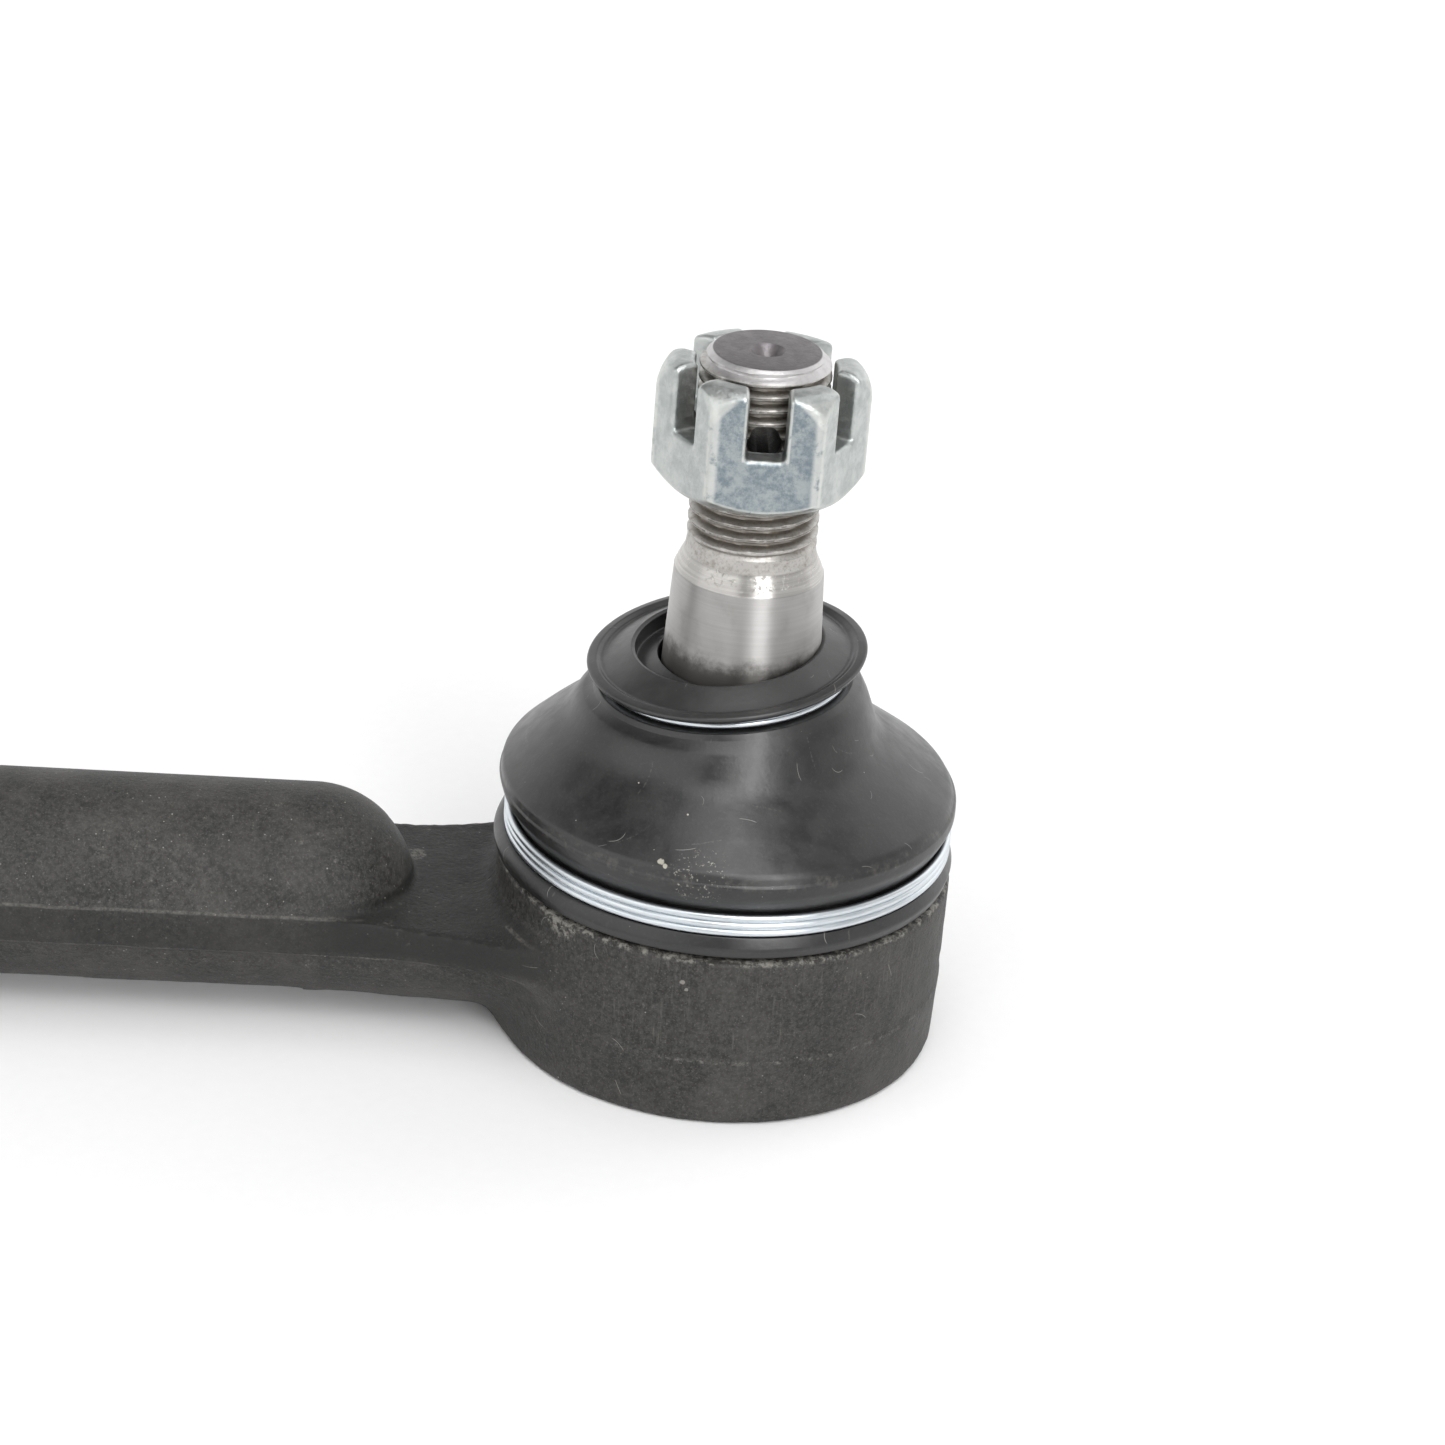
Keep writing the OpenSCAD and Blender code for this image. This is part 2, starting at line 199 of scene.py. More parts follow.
def surface_net(distance, low, high, step, settle=4):
    """Quads over the zero level of a signed distance function, with their points drawn onto it."""
    axes = [np.arange(a, b + step, step) for a, b in zip(low, high)]
    shape = tuple(len(a) for a in axes)
    value = np.empty(shape)
    for i, x in enumerate(axes[0]):
        y, z = np.meshgrid(axes[1], axes[2], indexing="ij")
        value[i] = distance(np.full(y.shape, x), y, z)
    cells = tuple(n - 1 for n in shape)
    all_ids, all_places, quads = [], [], []
    for k in range(3):
        lower = tuple(slice(0, -1) if a == k else slice(None) for a in range(3))
        upper = tuple(slice(1, None) if a == k else slice(None) for a in range(3))
        first, second = value[lower], value[upper]
        index = np.argwhere((first < 0) != (second < 0))
        at = tuple(index.T)
        place = index.astype(float)
        place[:, k] += first[at] / (first[at] - second[at])
        m, n = (k + 1) % 3, (k + 2) % 3
        ids = []
        for back_m, back_n in ((0, 0), (1, 0), (1, 1), (0, 1)):
            cell = index.copy()
            cell[:, m] -= back_m
            cell[:, n] -= back_n
            ids.append(np.ravel_multi_index(tuple(cell.T), cells))
        ids = np.stack(ids, 1)
        outward = first[at] < 0
        quads.append(np.where(outward[:, None], ids, ids[:, ::-1]))
        all_ids.append(ids.ravel())
        all_places.append(np.repeat(place, 4, axis=0))
    ids, places, quads = (np.concatenate(v) for v in (all_ids, all_places, quads))
    used, index, counts = np.unique(ids, return_inverse=True, return_counts=True)
    points = np.stack([np.bincount(index, places[:, a]) / counts for a in range(3)], 1)
    points = points * step + np.array([a[0] for a in axes])
    for _ in range(settle):
        off, slope = distance_and_slope(distance, points, step * 0.1)
        points -= np.clip(off, -step, step)[:, None] * slope
    return points, np.searchsorted(used, quads), distance_and_slope(distance, points, step * 0.1)[1]


def distance_and_slope(distance, points, reach):
    """Signed distance at each point and its unit gradient."""
    x, y, z = points.T
    here = distance(x, y, z)
    slope = np.stack([
        distance(x + reach, y, z) - distance(x - reach, y, z),
        distance(x, y + reach, z) - distance(x, y - reach, z),
        distance(x, y, z + reach) - distance(x, y, z - reach),
    ], 1)
    return here, slope / np.maximum(np.linalg.norm(slope, axis=1), 1e-9)[:, None]


# ---------------------------------------------------------------- distance fields

def outline_distance(outline, u, v):
    """Signed distance in a plane from points (u, v) to a closed outline, negative inside."""
    inside = np.zeros(u.shape, bool)
    nearest = np.full(u.shape, 1e9)
    for (u0, v0), (u1, v1) in zip(outline, outline[1:] + outline[:1]):
        du, dv = u1 - u0, v1 - v0
        along = np.clip(((u - u0) * du + (v - v0) * dv) / (du * du + dv * dv), 0, 1)
        nearest = np.minimum(nearest, (u - u0 - along * du) ** 2 + (v - v0 - along * dv) ** 2)
        if dv:
            inside ^= ((v0 > v) != (v1 > v)) & (u < u0 + (v - v0) / dv * du)
    return np.where(inside, -1, 1) * np.sqrt(nearest)


def smooth_min(a, b, reach):
    """Union of two distance fields with a fillet about reach wide."""
    h = np.maximum(reach - np.abs(a - b), 0) / reach
    return np.minimum(a, b) - h * h * reach / 4


def smooth_max(a, b, reach):
    """Intersection of two distance fields with its edge rounded over about reach."""
    return -smooth_min(-a, -b, reach)


def rounded_max(a, b, radius):
    """Intersection of two distance fields with its edge rounded to a true radius."""
    u, v = a + radius, b + radius
    return np.minimum(np.maximum(u, v), 0) + np.hypot(np.maximum(u, 0), np.maximum(v, 0)) - radius


def smoothstep(low, high, value):
    t = np.clip((value - low) / (high - low), 0, 1)
    return t * t * (3 - 2 * t)


def thread_radius(along, angle, pitch, crest, root):
    """Radius of a right-handed 60 degree thread at a place along its axis and an angle round it."""
    phase = np.mod(along / pitch - angle / (2 * math.pi), 1)
    height = np.clip((np.abs(2 * phase - 1) - 0.2) / 0.6, 0, 1)
    return root + (crest - root) * height * height * (3 - 2 * height) * 0.35 + (crest - root) * height * 0.65


# ---------------------------------------------------------------- forged housing

BARREL_R = 9.82
BARREL_Z = barrel_mount[2]
BARREL_END = housing_low.x
BARREL_FILLET = 0.7
DOME_X = -38.9
# The flash land beside the barrel, which flares into the cup and is the top of the neck
LAND_HALF_H = 1.95
LAND_HALF_W = 10.2
LAND_TOP = BARREL_Z + LAND_HALF_H
LAND_START = BARREL_END + 3
LAND_EDGE_R = 0.35
FLARE_START, FLARE_LENGTH, FLARE_W = DOME_X + 3.1, 22, 5
SAG, SAG_LENGTH = 0.6, 14
# The neck's underside swells from the barrel's round
SWELL, SWELL_RISE, SWELL_LENGTH = 1.5, 0.9, 20
# Where the land and the neck stop inside the cup
WEB_END = -5
FACING_ALLOWANCE = 0.7
CUP_R = housing_high.x
CUP_SHOULDER_Z = 17.4
CUP_TOP = housing_high.z
COLLAR_R = 18.6
CUP_FILLET = 3.2
PARTING_Z = 6.8
PARTING_LIFT = 2.2
COVER_RECESS_R = 15
SEAT_BORE_R = 13.6
THROAT_Z = 21.9


def cup_outline():
    """Half outline of the cup's outside, with draft both ways from its parting line."""
    return rounded([
        (0, 0),
        (CUP_R - 0.35, 0, 0.8),
        (CUP_R, PARTING_Z - 0.25),
        (CUP_R, PARTING_Z + 0.1),
        (CUP_R - 0.1, PARTING_Z + 0.35),
        (CUP_R - 0.03, CUP_SHOULDER_Z, 0.6),
        (COLLAR_R, CUP_SHOULDER_Z, 0.3),
        (COLLAR_R, CUP_TOP - 1.2),
        (COLLAR_R + 0.5, CUP_TOP - 0.8, 0.2),
        (COLLAR_R + 0.3, CUP_TOP, 0.3),
        (0, CUP_TOP),
    ], 3)


def forging_distance(cup):
    """Distance field of the whole forging before it is machined."""
    def field(x, y, z):
        high = z - BARREL_Z
        along = x - np.clip(x, BARREL_END - 2 * BARREL_R, DOME_X)
        barrel = np.sqrt(along ** 2 + y ** 2 + high ** 2) - BARREL_R
        flare = np.clip((x - FLARE_START) / FLARE_LENGTH, 0, 1)
        edge = np.maximum(np.abs(y) - LAND_HALF_W - FLARE_W * flare ** 2, LAND_START - x)
        sag = SAG * smoothstep(DOME_X, DOME_X + SAG_LENGTH, x)
        land = rounded_max(edge, np.maximum(high + sag, -high) - LAND_HALF_H, LAND_EDGE_R)
        sweep = np.clip((x - DOME_X) / SWELL_LENGTH, 0, 1)
        neck = np.sqrt(y ** 2 + (high - SWELL_RISE * sweep) ** 2) - BARREL_R - SWELL * sweep
        neck = np.maximum(neck, np.maximum(DOME_X - x, x - WEB_END))
        neck = rounded_max(neck, high + sag - LAND_HALF_H, LAND_EDGE_R)
        web = np.minimum(neck, np.maximum(land, x - WEB_END))
        body = smooth_min(barrel, web, BARREL_FILLET)
        body = np.maximum(body, BARREL_END - FACING_ALLOWANCE - x)
        radius = np.hypot(x, y)
        lift = PARTING_LIFT * smoothstep(-7, -19, x) * smoothstep(0, PARTING_Z, z) * smoothstep(16, 9.5, z)
        return smooth_min(body, outline_distance(cup, radius, z - lift), CUP_FILLET)
    return field


def forged_skin(points, normals):
    """The scale-roughened skin of the forging: broad unevenness and fine orange peel.
    The turned collar and the flat base stay true."""
    moved = []
    for p, n in zip(points, normals):
        p = Vector(p)
        broad = noise.noise(p * 0.16) * 0.09
        fine = noise.noise(p * 0.55 + Vector((7, 3, 1))) * 0.05
        grain = noise.noise(p * 1.4 + Vector((1, 9, 4))) * 0.025
        moved.append(broad + fine + grain - 0.04)
    machined = smoothstep(CUP_SHOULDER_Z + 0.1, CUP_SHOULDER_Z + 0.5, points[:, 2])
    machined = np.maximum(machined, smoothstep(0.35, 0.1, points[:, 2]))
    skin = points + normals * (np.array(moved) * (1 - machined))[:, None]
    skin[:, 2] = np.maximum(skin[:, 2], 0)
    return skin


def turned_cutter(name, outline, segments=96):
    return revolve(name, outline, segments, closed=False, sharp=0)


def cup_cutter():
    """What is machined out of the cup: the cover's seat below and the ball's bore and throat above."""
    recess, bore = COVER_RECESS_R, SEAT_BORE_R
    return turned_cutter("cup_cutter", [
        (0, -1), (13.4, -1), (13.4, 0.5), (13.55, 0.8),
        (recess, 0.8), (recess, 2.8), (recess - 0.1, 2.8), (recess - 0.1, 4), (bore, 4), (bore, 17.8),
        (11.3, THROAT_Z), (10.3, THROAT_Z), (11.8, CUP_TOP + 1), (0, CUP_TOP + 1),
    ])


def threaded_rows(start, stop, rows_per_pitch, pitch, radius):
    """Evenly spaced rows of one radius along a thread."""
    count = int((stop - start) / pitch * rows_per_pitch)
    return [(radius, start + (stop - start) * i / count) for i in range(count + 1)]


def barrel_cutter():
    """The barrel's tapped hole: countersink, M14 x 1.5 thread, plain bore and drill point, along -X."""
    root, crest, pitch = barrel_dims["r_mm"], 7.0, 1.5
    depth, tapped = 56, 46
    rows = [(0, -1), (root + 2.2, -1), (root + 1.2, 0)]
    rows += threaded_rows(0.5, tapped, 10, pitch, crest)
    rows += [(root, tapped + 1.5), (root, depth), (0, depth + 3.6)]

    def shape(r, z, angle):
        cut = thread_radius(z, -angle, pitch, crest, root)
        cut = root + (cut - root) * smoothstep(tapped, tapped - 3, z)
        threaded = (z > 0.4) & (z < tapped + 0.1)
        r = np.where(threaded, np.maximum(cut, root + np.clip(1.2 - z, 0, 1.2)), r)
        return BARREL_END + z, r * np.cos(angle), BARREL_Z + r * np.sin(angle)

    return revolve("barrel_cutter", rows, 72, shape, closed=False, sharp=0)


def facing_cutter():
    """What squares and chamfers the barrel's end."""
    def shape(r, z, angle):
        return BARREL_END + z, r * np.cos(angle), BARREL_Z + r * np.sin(angle)

    chamfer = 1.0
    rim = BARREL_R + 1.5
    outline = [(0, -2), (rim, -2), (rim, rim - BARREL_R + chamfer), (BARREL_R - chamfer, 0), (0, 0)]
    return revolve("facing_cutter", outline, 144, shape, closed=False, sharp=0)


def cut(piece, cutters):
    """Takes the cutters out of a piece and removes them."""
    for cutter in cutters:
        step = piece.modifiers.new("cut", "BOOLEAN")
        step.object = cutter
        step.operation = "DIFFERENCE"
        step.solver = "EXACT"
    graph = bpy.context.evaluated_depsgraph_get()
    mesh = bpy.data.meshes.new_from_object(piece.evaluated_get(graph), depsgraph=graph)
    piece.modifiers.clear()
    piece.data = mesh
    for cutter in cutters:
        bpy.data.objects.remove(cutter)


def build_housing(forging, machined):
    step = 0.45
    low = (BARREL_END - 2, -CUP_R - 1, -1)
    high = (CUP_R + 1, CUP_R + 1, CUP_TOP + 1)
    points, quads, normals = surface_net(forging_distance(cup_outline()), low, high, step)
    housing = make_object("housing_forging", forged_skin(points, normals), quads, 0)
    cutters = [cup_cutter(), facing_cutter(), barrel_cutter()]
    housing.data.materials.append(forging)
    housing.data.materials.append(machined)
    cut(housing, cutters)
    paint_machined_faces(housing)
    housing.data.set_sharp_from_angle(angle=math.radians(40))
    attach(housing, "housing")
    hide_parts("forged_housing")


BORE_REACH = 62


def paint_machined_faces(housing):
    """Gives the bores, the barrel's end and the faces inside the boot the machined material."""
    for face in housing.data.polygons:
        x, y, z = face.center / MM
        in_bore = math.hypot(y, z - BARREL_Z) < BARREL_R - 1.5 and x < BARREL_END + BORE_REACH
        in_bore = in_bore and face.normal.x < 0.999
        in_cup = math.hypot(x, y) < 15.1 and (0.05 < z < 22 or z > CUP_TOP - 1.5)
        on_end = x < BARREL_END + 1.4 and face.normal.x < -0.55
        on_collar = z > CUP_SHOULDER_Z + 0.2 and x > -CUP_R
        face.material_index = int(in_bore or in_cup or on_end or on_collar)


# ---------------------------------------------------------------- stud

STUD_TOP = stud_high.z
BALL_Z, BALL_R, WAIST_R = 16.8, 11, 6.1
THREAD_R, THREAD_PITCH = 6, 1.25
THREAD_ROOT = THREAD_R - 0.6134 * THREAD_PITCH
THREAD_START = 50.1
TAPER_TOP_Z, TAPER_TOP_R = 47, 6.9
END_R = 4.9


def stud_outline():
    """Half outline of the stud from under the ball up to the centre drilling in its end face."""
    ball = [(BALL_R * math.cos(a), BALL_Z + BALL_R * math.sin(a)) for a in np.radians(np.arange(-84, 58, 2))]
    lower = [(0, BALL_Z - BALL_R + 0.2), (1.2, BALL_Z - BALL_R + 0.2)] + ball
    lower += [(WAIST_R, BALL_Z + 9.2), (WAIST_R, 30)]
    lower += [(TAPER_TOP_R + (TAPER_TOP_Z - z) * 0.05, z) for z in (35, 38, 41, 44, 46.2, TAPER_TOP_Z - 0.08)]
    shoulder = rounded([(6.85, TAPER_TOP_Z), (6.78, TAPER_TOP_Z + 0.15), (6.62, 47.6, 0.8), (6.05, 48.8, 0.5),
                        (5.88, THREAD_START - 0.1)], 3)
    thread = threaded_rows(THREAD_START, STUD_TOP - 0.3, 14, THREAD_PITCH, THREAD_R - 0.02)
    end = [(END_R + 0.1, STUD_TOP - 0.1), (END_R, STUD_TOP - 0.02), (END_R - 0.1, STUD_TOP)]
    end += [(1.65, STUD_TOP), (1.5, STUD_TOP - 0.12), (0.45, STUD_TOP - 1.45), (0, STUD_TOP - 1.75)]
    return lower + shoulder + thread + end


def build_stud(taper, shoulder, thread_steel):
    def shape(r, z, angle):
        cut = thread_radius(z, angle, THREAD_PITCH, THREAD_R - 0.02, THREAD_ROOT)
        fade = smoothstep(THREAD_START - 0.4, THREAD_START + 1.1, z)
        cut = THREAD_R - 0.02 + (cut - THREAD_R + 0.02) * fade
        lead = np.interp(STUD_TOP - z, (0, 0.5, 0.6, 1.1), (END_R + 0.05, 5.42, 5.5, THREAD_R + 0.05))
        threaded = (z >= THREAD_START - 0.01) & (z <= STUD_TOP - 0.29)
        r = np.where(threaded, np.minimum(np.minimum(r, cut), lead), r)
        return r * np.cos(angle), r * np.sin(angle), z

    stud = revolve("ball_stud_turned", stud_outline(), 128, shape, closed=False, sharp=30)
    for steel in (taper, shoulder, thread_steel):
        stud.data.materials.append(steel)
    hole_r = cotter_dims["r_mm"]
    hole = turned_cutter("cotter_cutter", [(0, -8), (hole_r, -8), (hole_r, 8), (0, 8)], 48)
    raised = Matrix.Translation((0, 0, cotter_mount[2] * MM))
    hole.data.transform(raised @ Matrix.Rotation(math.pi / 2, 4, "X"))
    cut(stud, [hole])
    for face in stud.data.polygons:
        height = face.center.z / MM
        face.material_index = int(height > TAPER_TOP_Z) + int(height > THREAD_START - 0.9)
    stud.data.set_sharp_from_angle(angle=math.radians(30))
    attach(stud, "stud")
    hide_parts("ball_stud")


# ---------------------------------------------------------------- castle nut

NUT_LOW, NUT_TOP = nut_low.z, nut_high.z
NUT_FLAT = 8.5
SLOT_HALF, SLOT_DEPTH = 1.75, 6.3


def nut_distance(x, y, z):
    """Distance field of the castle nut: hexagon, turned ends, slots and threaded bore."""
    flats = [np.abs(x * math.sin(a) - y * math.cos(a)) for a in (0, math.pi / 3, 2 * math.pi / 3)]
    body = flats[0] - NUT_FLAT
    for flat in flats[1:]:
        body = smooth_max(body, flat - NUT_FLAT, 0.3)
    radius = np.hypot(x, y)
    crown = (radius - NUT_FLAT + 0.9) * 0.287 + (z - NUT_TOP) * 0.958
    side = (radius - NUT_FLAT - 0.35) * 0.933 + (z - NUT_TOP) * 0.359
    low_cone = (radius - NUT_FLAT + 0.6) * 0.579 - (z - NUT_LOW) * 0.815
    body = smooth_max(body, smooth_max(crown, side, 0.9), 0.25)
    body = smooth_max(body, low_cone, 0.25)
    body = rounded_max(body, z - NUT_TOP, 0.12)
    body = rounded_max(body, NUT_LOW - z, 0.12)
    floor = NUT_TOP - SLOT_DEPTH
    for a in (0, math.pi / 3, 2 * math.pi / 3):
        across = np.abs(x * math.cos(a) + y * math.sin(a)) - SLOT_HALF
        slot = rounded_max(across, floor - z, 0.45)
        body = smooth_max(body, -slot, 0.6)
    angle = np.arctan2(y, x)
    bore = thread_radius(z, angle, THREAD_PITCH, THREAD_R + 0.25, THREAD_R + 0.02)
    bore = np.maximum(bore, THREAD_R + 0.8 - (z - NUT_LOW))
    bore = np.maximum(bore, THREAD_R + 0.38 * smoothstep(floor + 0.8, floor + 1.1, z))
    bore = np.maximum(bore, THREAD_R + 0.7 - (NUT_TOP - z))
    return smooth_max(body, bore - radius, 0.15)


def build_nut(zinc):
    step = 0.17
    reach = NUT_FLAT / math.cos(math.pi / 6) + 0.5
    low, high = (-reach, -reach, NUT_LOW - 0.5), (reach, reach, NUT_TOP + 0.5)
    points, quads, _ = surface_net(nut_distance, low, high, step)
    nut = make_object("castle_nut_zinc", points, quads, 50)
    nut.data.materials.append(zinc)
    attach(nut, "nut")
    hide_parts("castle_nut")


# ---------------------------------------------------------------- boot

BOOT_R = boot_high.x
CREASE_Z = 25.2
NECK_Z = top_ring_low.z
LIP_R = 13.0
LIP_Z = 38.5
LIP_TILT = 0.125
LIP_DIP = 0.04
NECK_TILT = 0.09
NECK_SHIFT = -1.35


def boot_outline():
    """Closed half outline of the rubber boot, up its outside and down its inside."""
    ring_low, ring_top = low_ring_low.z, low_ring_high.z
    outside = [
        (18.75, 17.7, 0.2),
        (BOOT_R - 0.35, 17.7, 0.35),
        (BOOT_R - 0.05, 18.7, 0.6),
        (BOOT_R - 0.5, ring_low - 0.05, 0.15),
        (low_ring_high.x - 1, ring_low - 0.05, 0.15),
        (low_ring_high.x - 1, ring_top + 0.1, 0.2),
        (BOOT_R - 1.1, ring_top + 0.15, 0.25),
        (BOOT_R - 0.15, 23.9, 1.5),
        (BOOT_R, CREASE_Z - 0.15, 0.4),
        (BOOT_R - 0.2, CREASE_Z + 0.1, 0.1),
        (BOOT_R - 0.45, 26.1, 1.2),
        (18.35, 28.3, 4),
        (14.65, 31.2, 6),
        (13.0, 34.2, 3),
        (12.2, NECK_Z - 0.7, 0.5),
        (11.9, NECK_Z - 0.15, 0.2),
        (10.55, NECK_Z - 0.1, 0.2),
        (10.55, top_ring_high.z + 0.15, 0.3),
        (LIP_R - 0.25, LIP_Z - 0.65, 0.4),
        (LIP_R, LIP_Z - 0.05, 0.3),
        (LIP_R - 0.95, LIP_Z + 0.1, 0.3),
        (LIP_R - 1.5, LIP_Z - 0.3, 0.5),
        (8.9, LIP_Z + 1.1, 0.15),
        (8.55, LIP_Z + 0.95, 0.15),
        (8.35, LIP_Z - 0.5, 0.3),
        (7.75, LIP_Z - 0.7, 0.15),
        (7.6, LIP_Z - 1.6, 0.3),
        (8.0, NECK_Z - 1.3, 0.8),
    ]
    inside = [
        (11.9, 33.4, 2),
        (13.7, 30.6, 4),
        (17.4, 27.2, 4),
        (19.6, 25.0, 1.5),
        (19.5, 23.4, 0.3),
        (18.75, 21.2, 0.3),
    ]
    return subdivided(rounded(outside + inside, 6), 0.7)


def lean_neck(x, y, z):
    """The upper part of the boot and its clamp sit a little to the neck's side, and lean that way."""
    x = x + NECK_SHIFT * smoothstep(22.5, 31.5, z)
    return x, y, z + NECK_TILT * x * smoothstep(33, NECK_Z - 0.3, z)


def boot_shape(r, z, angle):
    """Moves the boot off the truly round: bead swollen at the neck's side, upper part shifted, lip tilted."""
    swell = 0.55 * np.clip(-np.cos(angle), 0, 1) ** 3 * smoothstep(19.9, 19.5, z) * smoothstep(19, 21, r)
    fuller = 0.5 * np.clip(np.cos(angle), 0, 1) ** 2 * smoothstep(30.5, 33.5, z) * smoothstep(35.8, 35.2, z)
    r = r + swell + fuller * smoothstep(10.8, 11.6, r)
    x, y = r * np.cos(angle), r * np.sin(angle)
    moved_x, y, moved_z = lean_neck(x, y, z)
    slant = (LIP_TILT - NECK_TILT) * moved_x + LIP_DIP * y
    moved_z = moved_z + slant * smoothstep(top_ring_high.z + 0.1, LIP_Z - 0.6, z)
    seal = smoothstep(8.4, 7.9, r)
    return moved_x + (x - moved_x) * seal, y, moved_z + (z - moved_z) * seal


def build_boot(rubber):
    boot = revolve("dust_boot_rubber", boot_outline(), 192, boot_shape, sharp=45)
    boot.data.materials.append(rubber)
    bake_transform(boot)
    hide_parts("dust_boot")


# ---------------------------------------------------------------- clamp rings

def wound_wire(name, radius, low_z, wire_r, turns, first_degrees, shape=None):
    """A wire wound into a coil whose turns lie level and step up onto the next one at the back.
    Its two ends are cut square with a small burr-free edge."""
    sides, per_turn = 14, 120
    rings = int(turns * per_turn)
    points, faces = [], []
    sections = [(0, 0.0), (0, 0.8), (0, 1.0)] + [(i, 1.0) for i in range(1, rings)]
    sections += [(rings, 1.0), (rings, 0.8), (rings, 0.0)]
    for number, (i, size) in enumerate(sections):
        angle = math.radians(first_degrees) + i / per_turn * 2 * math.pi
        turn, part = divmod(i / per_turn, 1)
        rise = low_z + wire_r * (1 + 1.96 * (turn + smoothstep(0.86, 1, part)))
        wobble = 0.03 * math.sin(angle * 3.1 + 1) * wire_r
        end = 0.0 if size in (1.0,) else 0.12 * wire_r
        lead = end if number < 3 else -end
        angle += lead / radius
        for k in range(sides):
            around = 2 * math.pi * k / sides
            r = radius - wire_r + wobble + wire_r * size * math.cos(around)
            points.append((r * math.cos(angle), r * math.sin(angle), rise + wire_r * size * math.sin(around)))
    for s in range(len(sections) - 1):
        for k in range(sides):
            n = (k + 1) % sides
            a, b = s * sides, (s + 1) * sides
            faces.append((a + k, b + k, b + n, a + n))
    if shape:
        points = np.stack(shape(*np.array(points).T), 1)
    return make_object(name, points, faces, 50)


def weld(piece, reach=0.0005):
    """Joins points that lie on each other, such as the centre of a cap."""
    step = piece.modifiers.new("weld", "WELD")
    step.merge_threshold = reach * MM
    graph = bpy.context.evaluated_depsgraph_get()
    piece.data = bpy.data.meshes.new_from_object(piece.evaluated_get(graph), depsgraph=graph)
    piece.modifiers.clear()


def build_rings(zinc):
    wire_r = (top_ring_high.z - top_ring_low.z) / 2 / 1.96
    lower = wound_wire("boot_clamp_lower", low_ring_high.x, low_ring_low.z, wire_r, 2.85, 115)
    upper = wound_wire("boot_clamp_upper", top_ring_high.x, top_ring_low.z, wire_r, 1.85, 115, lean_neck)
    for ring, node, body in ((lower, "boot_lower_ring", "housing"), (upper, "boot_upper_ring", "boot_neck")):
        weld(ring)
        ring.data.materials.append(zinc)
        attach(ring, body)
        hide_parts(node)


# ---------------------------------------------------------------- materials

class Nodes:
    """Short names for the shader nodes that the materials and the studio light are made of."""

    def __init__(self, tree):
        self.tree = tree

    def put(self, socket, value):
        """Sets a node's socket to a value, or links it to another node's output."""
        if isinstance(value, bpy.types.NodeSocket):
            self.tree.links.new(value, socket)
        elif value is not None:
            socket.default_value = value

    def new(self, kind, *values, **settings):
        """A new node, with its settings and the values of its first inputs. None leaves one alone."""
        node = self.tree.nodes.new("ShaderNode" + kind)
        for name, value in settings.items():
            setattr(node, name, value)
        for socket, value in zip(node.inputs, values):
            self.put(socket, value)
        return node

    def coordinates(self, output):
        return self.new("TexCoord").outputs[output]

    def split(self, place):
        return tuple(self.new("SeparateXYZ", place).outputs)

    def join(self, x, y, z):
        return self.new("CombineXYZ", x, y, z).outputs[0]

    def math(self, operation, *values):
        return self.new("Math", *values, operation=operation).outputs[0]

    def vector(self, operation, *values, scale=None):
        node = self.new("VectorMath", *values, operation=operation)
        if scale is not None:
            self.put(node.inputs["Scale"], scale)
        return node.outputs["Value" if operation in ("LENGTH", "DISTANCE") else 0]

    def ramp(self, value, low, high, to_low=0.0, to_high=1.0):
        """Smooth step from to_low at low to to_high at high."""
        node = self.new("MapRange", value, low, high, to_low, to_high, interpolation_type="SMOOTHSTEP")
        return node.outputs[0]

    def band(self, value, centre, half):
        """1 where value is centre, falling to 0 at half on both sides."""
        return self.ramp(self.math("ABSOLUTE", self.math("SUBTRACT", value, centre)), half, half * 0.3)

    def both(self, *masks):
        product = masks[0]
        for mask in masks[1:]:
            product = self.math("MULTIPLY", product, mask)
        return product

    def most(self, *masks):
        largest = masks[0]
        for mask in masks[1:]:
            largest = self.math("MAXIMUM", largest, mask)
        return largest

    def mix(self, factor, first, second):
        node = self.new("Mix", factor, data_type="RGBA")
        for socket, value in ((node.inputs[6], first), (node.inputs[7], second)):
            self.put(socket, (*value, 1) if isinstance(value, tuple) else value)
        return node.outputs[2]


